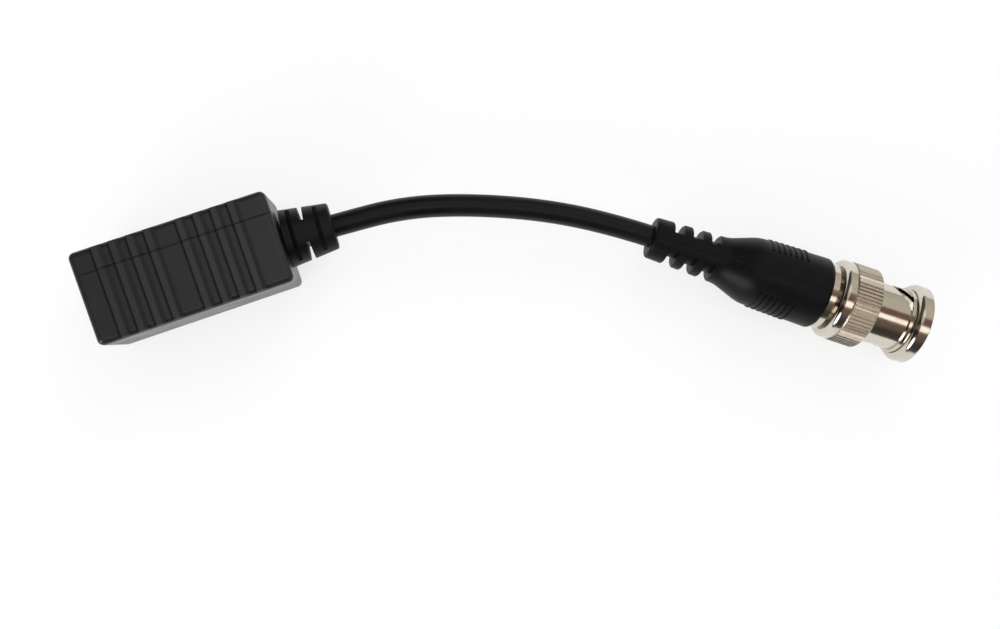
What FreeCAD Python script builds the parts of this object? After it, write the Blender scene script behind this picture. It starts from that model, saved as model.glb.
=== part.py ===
import FreeCAD, Part
import math
import os

import Sketcher
from FreeCAD import Placement, Rotation, Vector

# A passive video balun: housing with a modular jack, short cable, and a bayonet video plug.
# Millimetres. +X runs along the housing from its jack to its cable, +Z is up, and the part
# lies on the ribs of the housing's side and on the knurl of the plug's nut.
# Housing pieces are drawn from the middle of its cable end: x back to the jack is negative,
# y is towards the cover. Plug pieces are drawn along x, from the front of the knurl.

doc = FreeCAD.newDocument("video_balun")
sheet = doc.addObject("Spreadsheet::Sheet", "Sizes")

SIZES = [
    ("Housing shells", [
        ("HousingEndX", -35.85, "place of the housing's cable end"),
        ("HousingY", 23.89, "place of the housing's axis"),
        ("HousingLength", 32.2, "jack end to cable end"),
        ("HousingWidth", 15.4, "underside to cover"),
        ("HousingDepth", 17.0, "side to side, without ribs"),
        ("HousingWall", 0.9, "side walls, floor and cover"),
        ("HousingEndWall", 1.2, "wall that the cable leaves by"),
        ("HousingEdgeRadius", 1.0, "rounding of the outer edges"),
        ("CoverHeight", 3.85, "height of the cover's outside"),
        ("LipHeight", 0.8, "how far the cover's lip reaches into the base"),
        ("LipThickness", 0.5, "thickness of the cover's lip"),
        ("FitGap", 0.05, "clearance between pieces that seat in each other"),
        ("RibHeight", 0.3, "height of a side rib"),
        ("RibWidth", 1.65, "width of a side rib"),
        ("RibCrest", 1.05, "width of a side rib's flat top"),
        ("RibEndMargin", 0.2, "underside or cover to the ribs' ends"),
        ("RibPitch", 2.83, "rib to rib in a group"),
        ("RibCount", 4, "ribs in a group"),
        ("RibStartJack", 3.9, "jack end to the first group of ribs"),
        ("RibStartCable", 17.55, "jack end to the second group of ribs"),
        ("RibRound", 0.12, "rounding along a rib's edges"),
    ]),
    ("Jack, board and transformer", [
        ("JackLength", 15.5, "front to back"),
        ("JackInset", 0.15, "the jack's face lies this far inside the housing's end"),
        ("CavityWidth", 11.75, "plug opening, across the wires"),
        ("CavityHeight", 6.7, "plug opening, without the latch notch"),
        ("CavityDepth", 12.6, "depth of the plug opening"),
        ("CavityFloor", 2.6, "jack's underside to the plug opening"),
        ("LatchWidth", 6.3, "notch for the plug's latch"),
        ("LatchHeight", 1.6, "depth of the latch notch"),
        ("WireCount", 8, "spring wires"),
        ("WirePitch", 1.02, "wire to wire"),
        ("WireWidth", 0.45, "width of a spring wire"),
        ("WireThickness", 0.3, "thickness of a spring wire"),
        ("WireDrop", 2.8, "how far a wire's free end hangs into the opening"),
        ("WireReach", 7.4, "length of a wire's free end along the jack"),
        ("WireFront", 1.9, "jack's face to the front bend of the wires"),
        ("WireTail", 0.5, "wire ends below the board"),
        ("BoardLift", 0.9, "floor to board"),
        ("BoardThickness", 1.0, "board"),
        ("BoardWidth", 14.4, "board across"),
        ("BoardJackMargin", 2.0, "housing's jack end to the board"),
        ("BoardCableMargin", 3.4, "housing's cable end to the board"),
        ("RailWidth", 1.0, "rail that carries the board"),
        ("RailInset", 3.0, "board's end to its rail"),
        ("CoreRadius", 3.5, "outside of the ferrite ring"),
        ("CoreBore", 1.75, "radius of the ring's hole"),
        ("CoreHeight", 3.2, "height of the ferrite ring"),
        ("WindingThickness", 0.35, "layer of turns on the ring"),
        ("WindingAngle", 120.0, "share of the ring under one winding, in degrees"),
        ("CoreBack", 11.3, "housing's cable end to the ring's axis"),
        ("CoreAside", 3.0, "ring's axis to the housing's middle"),
        ("ChipLength", 3.2, "length of a chip part"),
        ("ChipWidth", 1.6, "width of a chip part"),
        ("ChipHeight", 0.9, "height of a chip part"),
        ("ChipPitch", 1.9, "chip to chip"),
        ("ChipAside", 4.2, "chips to the housing's middle"),
        ("ChipBack", 9.0, "housing's cable end to the chips"),
        ("SurgeLength", 4.6, "length of the surge suppressor"),
        ("SurgeWidth", 2.6, "width of the surge suppressor"),
        ("SurgeHeight", 2.2, "height of the surge suppressor"),
        ("PostRadius", 0.45, "solder post"),
        ("SignalPostBack", 7.0, "cable end to the signal post"),
        ("ShieldPostBack", 4.7, "cable end to the shield post"),
    ]),
    ("Cable and bend relief of the housing", [
        ("CableDiameter", 3.9, "jacket"),
        ("BraidRadius", 1.9, "outside of the shield where it is bared"),
        ("DielectricRadius", 1.45, "inner insulation"),
        ("ConductorRadius", 0.45, "inner conductor"),
        ("StripDielectric", 5.8, "cable end to the end of the bared insulation"),
        ("StripBraid", 5.4, "cable end to the end of the bared shield"),
        ("LastBend", 32.0, "knurl front back to the cable's last bend"),
        ("StripConductor", 7.4, "cable end to the end of the conductor"),
        ("StripJacket", 3.0, "cable end to the end of the jacket"),
        ("ReliefTilt", -2.9, "the relief leans with the cable, in degrees"),
        ("ReliefFlangeRadius", 4.3, "flange inside the wall"),
        ("ReliefFlange", 1.3, "thickness of that flange"),
        ("ReliefFlangeGap", 0.3, "wall to the flange, which leans with the cable"),
        ("ReliefNeckRadius", 2.9, "neck in the wall's slot"),
        ("ReliefNeckGap", 0.12, "clearance of the neck in its slot"),
        ("ReliefWallGap", 0.3, "wall to the first block"),
        ("ReliefStartRadius", 4.95, "first block at the wall"),
        ("ReliefEndRadius", 3.95, "last block at the cable"),
        ("ReliefLength", 8.5, "wall to the relief's end"),
        ("ReliefCore", 1.9, "half thickness of the webs"),
        ("ReliefNotchStart", 3.2, "wall to the open notches"),
        ("ReliefNotchMouth", 1.35, "notch at its mouth"),
        ("ReliefNotchFloor", 0.6, "notch at its floor"),
        ("ReliefSlit", 0.7, "width of the two side slits"),
        ("ReliefSlitFirst", 1.5, "wall to the first slit"),
        ("ReliefSlitSecond", 5.9, "wall to the second slit"),
        ("ReliefRound", 0.5, "rounding of the relief's end"),
    ]),
    ("Plug boot", [
        ("PlugX", 56.31, "place of the plug's origin"),
        ("PlugY", -20.37, "place of the plug's origin"),
        ("PlugYaw", -37.1, "direction of the plug, in degrees"),
        ("BootStart", 40.2, "knurl front back to the boot's cable end"),
        ("BootEnd", 8.75, "knurl front back to the boot's nut end"),
        ("BootTipRadius", 3.5, "bend relief at its end"),
        ("BootCollarRadius", 3.98, "bend relief at the neck"),
        ("BootNeckStart", 27.3, "knurl front back to the start of the neck's flare"),
        ("BootNeckEnd", 22.3, "knurl front back to the end of the neck's flare"),
        ("BootBodyRadius", 5.9, "body at the end of the flare"),
        ("BootEndRadius", 6.38, "body at the nut"),
        ("BootFlareHollow", 4.5, "radius of the hollow curve of the flare"),
        ("BootFlareCrown", 5.0, "radius of the crown of the flare"),
        ("BootRound", 0.7, "rounding of the boot's ends"),
        ("NotchFirst", 37.15, "knurl front back to the first notch"),
        ("NotchPitch", 3.42, "notch to notch"),
        ("NotchCount", 3, "notches on each side"),
        ("NotchMouth", 1.35, "notch at its mouth"),
        ("NotchFloor", 0.5, "notch at its floor"),
        ("NotchCore", 2.4, "half thickness of the webs"),
        ("SegmentRound", 0.35, "rounding of the segments' corners"),
        ("GripFirst", 20.2, "knurl front back to the first grip ridge"),
        ("GripPitch", 1.05, "ridge to ridge"),
        ("GripCount", 7, "grip ridges on each side"),
        ("GripHeight", 0.3, "height of a grip ridge"),
        ("GripWidth", 0.62, "width of a grip ridge at its foot"),
        ("GripCrest", 0.22, "width of a grip ridge at its top"),
        ("GripAngle", 100.0, "how far a ridge runs round, in degrees"),
    ]),
    ("Plug metalwork", [
        ("JacketStop", 20.5, "knurl front back to the jacket's end"),
        ("PostStart", 17.0, "knurl front back to the crimp post's end"),
        ("BarrelStart", 12.0, "knurl front back to the body's barrel"),
        ("BarrelRadius", 4.6, "body's barrel in the boot"),
        ("PostOuterRadius", 2.2, "crimp post"),
        ("CrimpBraidRadius", 2.7, "shield over the crimp post"),
        ("FerruleRadius", 3.1, "crimp ferrule"),
        ("BodyRingStart", 8.65, "knurl front back to the body's ring"),
        ("BodyRingEnd", 7.6, "knurl front back to the ring's front"),
        ("BodyRingRadius", 5.95, "body's ring behind the nut"),
        ("JournalRadius", 4.05, "journal that the nut runs on"),
        ("RunGap", 0.07, "running clearance of nut and washer on the journal"),
        ("SeatGap", 0.05, "end clearance between washer, nut and spring"),
        ("NutRear", 6.95, "knurl front back to the nut's rear face"),
        ("NutLip", 1.5, "thickness of the nut's inner lip"),
        ("WasherThickness", 0.5, "thrust washer"),
        ("WasherRadius", 4.75, "outside of the washers"),
        ("WaveHeight", 1.35, "free height of the wave washer"),
        ("WaveThickness", 0.25, "metal of the wave washer"),
        ("WaveCount", 3, "waves round the washer"),
        ("CollarThickness", 1.5, "collar of the outer contact"),
        ("SpigotRadius", 3.2, "body's spigot in the collar"),
        ("SpigotReach", 1.4, "knurl front back to the spigot's front"),
        ("ContactRadius", 4.0, "outside of the outer contact's sleeve"),
        ("ContactBore", 3.45, "inside of that sleeve"),
        ("ContactFront", 6.6, "front of the sleeve"),
        ("ContactSlit", 0.5, "slits of the sleeve"),
        ("ContactSlitStart", 0.6, "start of the slits"),
        ("GasketThickness", 1.0, "gasket ring before the collar"),
        ("InsulatorFront", 2.2, "front of the insulator"),
        ("InsulatorTail", 8.0, "knurl front back to the insulator's tail"),
        ("PinBarrelRadius", 0.95, "pin's barrel on the conductor"),
        ("PinRadius", 0.68, "pin's tip"),
        ("PinFront", 6.0, "front of the pin"),
        ("PinShoulder", 1.6, "knurl front back to the pin's shoulder"),
        ("PinBoreEnd", 3.2, "knurl front back to the bottom of the pin's solder bore"),
    ]),
    ("Coupling nut", [
        ("KnurlRadius", 7.25, "over the knurl"),
        ("KnurlLength", 4.65, "straight knurl"),
        ("KnurlCount", 66, "grooves of the knurl"),
        ("KnurlDepth", 0.27, "depth of a groove"),
        ("KnurlChamfer", 0.3, "bevel before the knurl"),
        ("NeckGroove", 0.35, "groove behind the knurl"),
        ("NeckGrooveDepth", 0.4, "depth of that groove"),
        ("RearRadius", 7.12, "band behind the knurl"),
        ("RearRound", 0.95, "rounding of the nut's rear edge"),
        ("WaistRadius", 5.58, "waist between knurl and flange"),
        ("WaistEnd", 6.2, "front end of the waist"),
        ("StepRadius", 5.98, "small step before the flange"),
        ("StepWidth", 0.55, "width of that step"),
        ("LineGroove", 0.22, "fine groove between step and flange"),
        ("FlangeRadius", 7.05, "front flange"),
        ("FlangeRound", 1.05, "rounding of the flange's back"),
        ("FlangeFrontRound", 0.4, "rounding of the flange's front"),
        ("NutFront", 9.7, "front face of the nut"),
        ("NutBore", 4.95, "radius of the nut's bore"),
        ("MouthChamfer", 0.35, "bevel at the bore's mouth"),
        ("SlotRadius", 5.62, "outer radius of the bayonet slots"),
        ("SlotWidth", 2.15, "width of the bayonet slots"),
        ("SlotPitch", 24.0, "lead of the slots' ramp"),
        ("SeatPlace", 2.9, "knurl front to the seat's middle"),
        ("SeatRadius", 1.45, "seat hole at the end of a ramp"),
        ("SeatAngle", 10.0, "turn of the seat from the level, in degrees"),
        ("RampEnd", 7.4, "knurl front to the ramp's front end"),
    ]),
]

# Bends of the cable between the two straight ends that its reliefs hold
BENDS = [
    (-15.10, 22.70, 8.65),
    (-3.00, 19.10, 8.35),
    (9.90, 13.50, 7.80),
    (21.34, 6.33, 7.35),
]


class Size:
    """A number of the sheet, or one worked out from such numbers, with its expression."""

    def __init__(self, value, text):
        self.value = float(value)
        self.text = text

    def __add__(self, other):
        other = as_size(other)
        return Size(self.value + other.value, f"({self.text} + {other.text})")

    def __sub__(self, other):
        other = as_size(other)
        return Size(self.value - other.value, f"({self.text} - {other.text})")

    def __mul__(self, other):
        other = as_size(other)
        return Size(self.value * other.value, f"({self.text} * {other.text})")

    def __truediv__(self, other):
        other = as_size(other)
        return Size(self.value / other.value, f"({self.text} / {other.text})")

    def __neg__(self):
        return Size(-self.value, f"(0 - {self.text})")

    __radd__ = __add__


def as_size(number):
    return number if isinstance(number, Size) else Size(number, repr(float(number)))


class Sizes:
    """The sheet's values by name."""


def fill_sheet():
    """Writes the sizes into the sheet and gives them back by name."""
    found = Sizes()
    row = 1
    for group, rows in SIZES:
        sheet.set(f"A{row}", group)
        row += 1
        for alias, value, meaning in rows:
            sheet.set(f"A{row}", meaning)
            sheet.set(f"B{row}", str(value))
            sheet.setAlias(f"B{row}", alias)
            setattr(found, alias, Size(value, f"Sizes.{alias}"))
            row += 1
    doc.recompute()
    return found


S = fill_sheet()
parts = {}


# Helpers for bodies, sketches and features

def new_body(name, keep=True):
    body = doc.addObject("PartDesign::Body", name if keep else name + "_form")
    body.Label = name if keep else name + "_form"
    if keep:
        parts[name] = body
    return body


def origin_feature(body, role):
    return next(f for f in body.Origin.OriginFeatures if f.Role == role)


def new_sketch(body, name, plane="XY_Plane", offset=0, turn=0):
    """A sketch on a plane of the body's origin, moved along its normal and turned about X."""
    sketch = body.newObject("Sketcher::SketchObject", name)
    sketch.AttachmentSupport = [(origin_feature(body, plane), "")]
    sketch.MapMode = "FlatFace"
    offset, turn = as_size(offset), as_size(turn)
    rotation = Rotation(Vector(1, 0, 0), turn.value)
    sketch.AttachmentOffset = Placement(rotation.multVec(Vector(0, 0, offset.value)), rotation)
    if turn.value == 0 and offset.value != 0:
        sketch.setExpression("AttachmentOffset.Base.z", offset.text)
    return sketch


def fix(sketch, kind, geometry, point, size):
    """Holds a point's distance from the sketch's origin to a size."""
    size = as_size(size)
    made = Sketcher.Constraint(kind, -1, 1, geometry, point, size.value)
    index = sketch.addConstraint(made)
    sketch.setExpression(f"Constraints[{index}]", size.text)


def polygon(sketch, points):
    """Closed run of straight lines through the points."""
    points = [(as_size(x), as_size(y)) for x, y in points]
    corners = [Vector(x.value, y.value, 0) for x, y in points]
    first = sketch.GeometryCount
    count = len(points)
    for k in range(count):
        sketch.addGeometry(Part.LineSegment(corners[k], corners[(k + 1) % count]), False)
    for k in range(count):
        joined = Sketcher.Constraint("Coincident", first + k, 2, first + (k + 1) % count, 1)
        sketch.addConstraint(joined)
    for k, (x, y) in enumerate(points):
        fix(sketch, "DistanceX", first + k, 1, x)
        fix(sketch, "DistanceY", first + k, 1, y)


def rectangle(sketch, x0, y0, x1, y1):
    polygon(sketch, [(x0, y0), (x1, y0), (x1, y1), (x0, y1)])


def circle(sketch, x, y, radius):
    x, y, radius = as_size(x), as_size(y), as_size(radius)
    shape = Part.Circle(Vector(x.value, y.value, 0), Vector(0, 0, 1), radius.value)
    index = sketch.addGeometry(shape, False)
    fix(sketch, "DistanceX", index, 3, x)
    fix(sketch, "DistanceY", index, 3, y)
    held = sketch.addConstraint(Sketcher.Constraint("Radius", index, radius.value))
    sketch.setExpression(f"Constraints[{held}]", radius.text)


def volume(body):
    doc.recompute()
    return body.Shape.Volume


def changed(body, before, feature, removes):
    """Stops the build if a feature adds or cuts nothing."""
    after = volume(body)
    if (after >= before) if removes else (after <= before):
        raise RuntimeError(f"{feature.Name} of {body.Label} changes nothing")


def pad(body, sketch, length, symmetric=True, reverse=False):
    before = volume(body) if body.Tip and body.Tip != sketch else 0
    feature = body.newObject("PartDesign::Pad", sketch.Name + "_pad")
    feature.Profile = sketch
    length = as_size(length)
    feature.Length = length.value
    feature.setExpression("Length", length.text)
    feature.SideType = "Symmetric" if symmetric else "One side"
    feature.Reversed = reverse
    changed(body, before, feature, False)
    return feature


def pocket(body, sketch, length, symmetric=True, reverse=False):
    before = volume(body)
    feature = body.newObject("PartDesign::Pocket", sketch.Name + "_pocket")
    feature.Profile = sketch
    length = as_size(length)
    feature.Length = length.value
    feature.setExpression("Length", length.text)
    feature.SideType = "Symmetric" if symmetric else "One side"
    feature.Reversed = reverse
    changed(body, before, feature, True)
    return feature


def revolve(body, sketch, axis="X_Axis", angle=360, midplane=False):
    feature = body.newObject("PartDesign::Revolution", sketch.Name + "_turn")
    feature.Profile = sketch
    feature.ReferenceAxis = (origin_feature(body, axis), [""])
    angle = as_size(angle)
    feature.Angle = angle.value
    feature.setExpression("Angle", angle.text)
    feature.Midplane = midplane
    doc.recompute()
    return feature


def in_a_row(body, feature, axis, pitch, count):
    """Copies a feature along an axis of the body."""
    row = body.newObject("PartDesign::LinearPattern", feature.Name + "_row")
    row.Originals = [feature]
    row.Direction = (origin_feature(body, axis), [""])
    length = pitch * (count - 1)
    row.Length = length.value
    row.setExpression("Length", length.text)
    row.Occurrences = int(count.value)
    row.setExpression("Occurrences", count.text)
    body.Tip = row
    doc.recompute()
    return row


def round_about(body, features, axis, count):
    """Copies features round an axis of the body."""
    ring = body.newObject("PartDesign::PolarPattern", features[0].Name + "_ring")
    ring.Originals = features
    ring.Axis = (origin_feature(body, axis), [""])
    ring.Angle = 360
    ring.Occurrences = int(as_size(count).value)
    ring.setExpression("Occurrences", as_size(count).text)
    body.Tip = ring
    doc.recompute()
    return ring


def round_edges(body, name, radius, chosen):
    """Fillets the edges that a test picks."""
    doc.recompute()
    base = body.Tip
    names = [f"Edge{k + 1}" for k, edge in enumerate(base.Shape.Edges) if chosen(edge)]
    if not names:
        raise RuntimeError(f"{name} of {body.Label} finds no edge")
    feature = body.newObject("PartDesign::Fillet", name)
    feature.Base = (base, names)
    radius = as_size(radius)
    feature.Radius = radius.value
    feature.setExpression("Radius", radius.text)
    doc.recompute()
    return feature


NEAR = 1e-4


def near(a, b):
    return abs(as_size(a).value - as_size(b).value) < NEAR


def curve_of(edge):
    """The edge's curve, or None for the kinds that have no class here."""
    try:
        return edge.Curve
    except TypeError:
        return None


def straight_along(edge, axis):
    """Whether an edge is a straight line along a direction."""
    if not isinstance(curve_of(edge), Part.Line):
        return False
    return abs(abs(edge.tangentAt(edge.FirstParameter).dot(axis)) - 1) < NEAR


def ring_at(edge, x, radius):
    """Whether an edge is a circle about the X axis at a station."""
    curve = curve_of(edge)
    return isinstance(curve, Part.Circle) and near(curve.Center.x, x) and near(curve.Radius, radius)


ALONG_X, ALONG_Y, ALONG_Z = Vector(1, 0, 0), Vector(0, 1, 0), Vector(0, 0, 1)


# Places that several pieces share

half_width = S.HousingWidth / 2
half_depth = S.HousingDepth / 2
parting = half_width - S.CoverHeight
floor_inside = S.HousingWall - half_width
roof_inside = half_width - S.HousingWall
side_inside = half_depth - S.HousingWall
board_under = floor_inside + S.BoardLift
board_top = board_under + S.BoardThickness
jack_front = S.JackInset - S.HousingLength
jack_back = jack_front + S.JackLength
cavity_floor = board_top + S.CavityFloor
cavity_roof = cavity_floor + S.CavityHeight
cable_radius = S.CableDiameter / 2
washer_bore = S.JournalRadius + S.RunGap
lip_front = -S.NutRear + S.NutLip
washer_back = lip_front + S.SeatGap
wave_back = washer_back + S.WasherThickness + S.SeatGap
collar_back = wave_back + S.WaveHeight + S.SeatGap
collar_front = collar_back + S.CollarThickness

housing_place = Placement(
    Vector(S.HousingEndX.value, S.HousingY.value, (half_depth + S.RibHeight).value), Rotation()
)
relief_place = Placement(housing_place.Base, Rotation(ALONG_Z, S.ReliefTilt.value))
plug_place = Placement(
    Vector(S.PlugX.value, S.PlugY.value, S.KnurlRadius.value), Rotation(ALONG_Z, S.PlugYaw.value)
)


# Housing shells

def add_ribs(body, group, start, low, high):
    """Ribs on both sides, from y = low to y = high, steep towards the jack, sloped behind."""
    sketch = new_sketch(body, f"{group}_ribs", "XZ_Plane", -high)
    left = start - S.HousingLength
    foot = half_depth - S.HousingWall / 2
    top = half_depth + S.RibHeight
    for side in (1, -1):
        polygon(sketch, [
            (left, foot * side),
            (left, top * side),
            (left + S.RibCrest, top * side),
            (left + S.RibWidth, (half_depth + S.RibHeight / 6) * side),
            (left + S.RibWidth, foot * side),
        ])
    feature = pad(body, sketch, high - low, symmetric=False)
    in_a_row(body, feature, "X_Axis", S.RibPitch, S.RibCount)


def round_ribs(body):
    """Rounds the long edges on top of the ribs."""
    top = half_depth + S.RibHeight

    def on_a_rib(edge):
        return straight_along(edge, ALONG_Y) and near(abs(edge.CenterOfMass.z), top)

    round_edges(body, "rib_rounding", S.RibRound, on_a_rib)


def housing_base():
    body = new_body("housing_base")
    outline = new_sketch(body, "base_outline")
    rectangle(outline, -S.HousingLength, -half_width, 0, parting)
    pad(body, outline, S.HousingDepth)

    def outer(edge):
        upright = straight_along(edge, ALONG_Y)
        under = near(edge.CenterOfMass.y, -half_width)
        return upright or under

    round_edges(body, "base_edges", S.HousingEdgeRadius, outer)
    hollow = new_sketch(body, "base_hollow")
    rectangle(hollow, -S.HousingLength - 1, floor_inside, -S.HousingEndWall, parting + 1)
    pocket(body, hollow, side_inside * 2)
    slot = new_sketch(body, "base_cable_slot", "YZ_Plane", -S.HousingEndWall - 1)
    neck = S.ReliefNeckRadius + S.ReliefNeckGap
    rectangle(slot, 0, -neck, parting + 1, neck)
    pocket(body, slot, S.HousingEndWall + 2, symmetric=False, reverse=True)
    hole = new_sketch(body, "base_cable_hole", "YZ_Plane", -S.HousingEndWall - 1)
    circle(hole, 0, 0, neck)
    pocket(body, hole, S.HousingEndWall + 2, symmetric=False, reverse=True)
    rails = new_sketch(body, "base_rails")
    board_front = S.BoardJackMargin - S.HousingLength + S.RailInset
    board_rear = -S.BoardCableMargin - S.RailInset
    root = floor_inside - S.HousingWall / 2
    rectangle(rails, board_front, root, board_front + S.RailWidth, board_under)
    rectangle(rails, board_rear - S.RailWidth, root, board_rear, board_under)
    pad(body, rails, side_inside * 2)
    low = S.RibEndMargin - half_width
    add_ribs(body, "base_first", S.RibStartJack, low, parting)
    add_ribs(body, "base_second", S.RibStartCable, low, parting)
    round_ribs(body)
    body.Placement = housing_place


def housing_cover():
    body = new_body("housing_cover")
    outline = new_sketch(body, "cover_outline")
    rectangle(outline, -S.HousingLength, parting, 0, half_width)
    pad(body, outline, S.HousingDepth)

    def outer(edge):
        return straight_along(edge, ALONG_Y) or near(edge.CenterOfMass.y, half_width)

    round_edges(body, "cover_edges", S.HousingEdgeRadius, outer)
    hollow = new_sketch(body, "cover_hollow")
    rectangle(hollow, -S.HousingLength - 1, parting - 1, -S.HousingEndWall, roof_inside)
    pocket(body, hollow, side_inside * 2)
    lip_out = side_inside - S.FitGap
    lip_end = -S.HousingEndWall - S.FitGap
    for side, name in ((1, "left"), (-1, "right")):
        lip = new_sketch(body, f"cover_lip_{name}", "YZ_Plane", lip_end)
        polygon(lip, [
            (parting - S.LipHeight, (lip_out - S.LipThickness) * side),
            (parting - S.LipHeight, lip_out * side),
            (parting, lip_out * side),
            (parting + S.LipHeight, (side_inside + S.LipThickness) * side),
            (parting + S.LipHeight, (lip_out - S.LipThickness) * side),
        ])
        length = -jack_back - S.HousingEndWall - S.LipThickness * 2
        pad(body, lip, length, symmetric=False, reverse=True)
    tongue = new_sketch(body, "cover_tongue")
    neck = S.ReliefNeckRadius + S.ReliefNeckGap
    rectangle(tongue, -S.HousingEndWall, neck, 0, parting + 1)
    pad(body, tongue, (neck - S.FitGap) * 2)
    high = half_width - S.RibEndMargin
    add_ribs(body, "cover_first", S.RibStartJack, parting, high)
    add_ribs(body, "cover_second", S.RibStartCable, parting, high)
    round_ribs(body)
    body.Placement = housing_place


# Jack, board and the parts on it

def jack_body():
    body = new_body("jack_body")
    outline = new_sketch(body, "jack_outline")
    rectangle(outline, jack_front, board_top, jack_back, roof_inside - S.FitGap)
    pad(body, outline, (side_inside - S.FitGap) * 2)
    cavity = new_sketch(body, "jack_cavity")
    depth = jack_front + S.CavityDepth
    rectangle(cavity, jack_front - 1, cavity_floor, depth, cavity_roof)
    pocket(body, cavity, S.CavityWidth)
    latch = new_sketch(body, "jack_latch")
    rectangle(latch, jack_front - 1, cavity_floor - S.LatchHeight, depth, cavity_floor + 1)
    pocket(body, latch, S.LatchWidth)
    comb = new_sketch(body, "jack_comb", "XY_Plane", -S.WirePitch * (S.WireCount - 1) / 2)
    start = jack_front + S.WireFront - S.WireThickness
    rectangle(comb, start, cavity_roof - 1, jack_back + 1, wire_top() + S.FitGap)
    slot = pocket(body, comb, S.WireWidth + S.FitGap * 2)
    in_a_row(body, slot, "Z_Axis", S.WirePitch, S.WireCount)
    body.Placement = housing_place


def wire_top():
    """Height of the spring wires' upper side, in the roof of the jack's opening."""
    return cavity_roof + S.WireThickness * 4


def jack_contacts():
    body = new_body("jack_contacts")
    body.AllowCompound = True
    wire = new_sketch(body, "wire_outline", "XY_Plane", -S.WirePitch * (S.WireCount - 1) / 2)
    thick = S.WireThickness
    front = jack_front + S.WireFront
    tip_x, tip_y = front + S.WireReach, wire_top() - thick - S.WireDrop
    leg = jack_back + S.FitGap * 2
    tail = board_under - S.WireTail
    polygon(wire, [
        (leg + thick, tail),
        (leg + thick, wire_top()),
        (front, wire_top()),
        (front, wire_top() - thick * 1.4),
        (tip_x, tip_y),
        (tip_x + thick / 2, tip_y + thick),
        (front + thick * 4, wire_top() - thick * 1.5),
        (front + thick * 4, wire_top() - thick),
        (leg, wire_top() - thick),
        (leg, tail),
    ])
    feature = pad(body, wire, S.WireWidth)
    in_a_row(body, feature, "Z_Axis", S.WirePitch, S.WireCount)
    body.Placement = housing_place


def circuit_board():
    body = new_body("circuit_board")
    outline = new_sketch(body, "board_outline")
    front = S.BoardJackMargin - S.HousingLength
    rectangle(outline, front, board_under, -S.BoardCableMargin, board_top)
    pad(body, outline, S.BoardWidth)
    holes = new_sketch(body, "board_hole", "XY_Plane", -S.WirePitch * (S.WireCount - 1) / 2)
    leg = jack_back + S.FitGap
    rectangle(holes, leg, board_under - 1, leg + S.WireThickness + S.FitGap * 2, board_top + 1)
    hole = pocket(body, holes, S.WireWidth + S.FitGap * 2)
    in_a_row(body, hole, "Z_Axis", S.WirePitch, S.WireCount)
    body.Placement = housing_place


def on_board(x, z, lift=0):
    """A place on the board's top, with the piece's own Z pointing away from the board."""
    local = Vector(as_size(x).value, (board_top + lift).value, as_size(z).value)
    return housing_place.multiply(Placement(local, Rotation(ALONG_X, -90)))


def transformer():
    place = on_board(-S.CoreBack, -S.CoreAside, S.WindingThickness + S.CoreHeight / 2)
    core = new_body("balun_core")
    section = new_sketch(core, "core_section", "XZ_Plane")
    half = S.CoreHeight / 2
    rectangle(section, S.CoreBore, -half, S.CoreRadius, half)
    revolve(core, section, "Z_Axis")
    core.Placement = place
    layer = S.WindingThickness
    for name, turn in (("line_winding", 0), ("coax_winding", 180)):
        body = new_body(name)
        band = new_sketch(body, name + "_section", "XZ_Plane")
        rectangle(band, S.CoreBore - layer, -half - layer, S.CoreRadius + layer, half + layer)
        rectangle(band, S.CoreBore, -half, S.CoreRadius, half)
        revolve(body, band, "Z_Axis", S.WindingAngle, midplane=True)
        body.Placement = place.multiply(Placement(Vector(), Rotation(ALONG_Z, turn)))


def chips(name, count, length, width, height, x, z, pitch):
    """Box-shaped parts side by side on the board, with their corners rounded."""
    body = new_body(name)
    body.AllowCompound = True
    outline = new_sketch(body, name + "_outline")
    rectangle(outline, -length / 2, -width / 2, length / 2, width / 2)
    feature = pad(body, outline, height, symmetric=False)
    if count > 1:
        in_a_row(body, feature, "X_Axis", pitch, as_size(count))
    body.Placement = on_board(x, z)


def board_parts():
    chips("surge_suppressor", 1, S.SurgeLength, S.SurgeWidth, S.SurgeHeight,
          -S.ChipBack - S.ChipPitch + S.ChipWidth / 2 - S.SurgeLength / 2, S.ChipAside, S.ChipPitch)
    chips("filter_capacitors", 2, S.ChipWidth, S.ChipLength, S.ChipHeight,
          -S.ChipBack, S.ChipAside, S.ChipPitch)
    chips("line_resistors", 2, S.ChipWidth, S.ChipLength, S.ChipHeight / 2,
          -S.BoardCableMargin - S.ChipPitch - S.ChipWidth / 2 - S.FitGap * 2, -S.ChipAside,
          S.ChipPitch)
    body = new_body("solder_posts")
    body.AllowCompound = True
    signal = new_sketch(body, "signal_post")
    circle(signal, S.SignalPostBack * -1, 0, S.PostRadius)
    drop = -board_top
    pad(body, signal, drop - S.ConductorRadius, symmetric=False)
    shield = new_sketch(body, "shield_post")
    circle(shield, S.ShieldPostBack * -1, 0, S.PostRadius)
    pad(body, shield, drop - S.BraidRadius, symmetric=False)
    body.Placement = on_board(0, 0)


# Cable

def turned(name, points, place):
    """A turned piece: its section, as stations along X and radii."""
    body = new_body(name)
    section = new_sketch(body, name + "_section")
    polygon(section, points)
    revolve(body, section)
    body.Placement = place
    return body


def tube(name, x0, x1, inner, outer, place):
    return turned(name, [(x0, inner), (x1, inner), (x1, outer), (x0, outer)], place)


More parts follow.
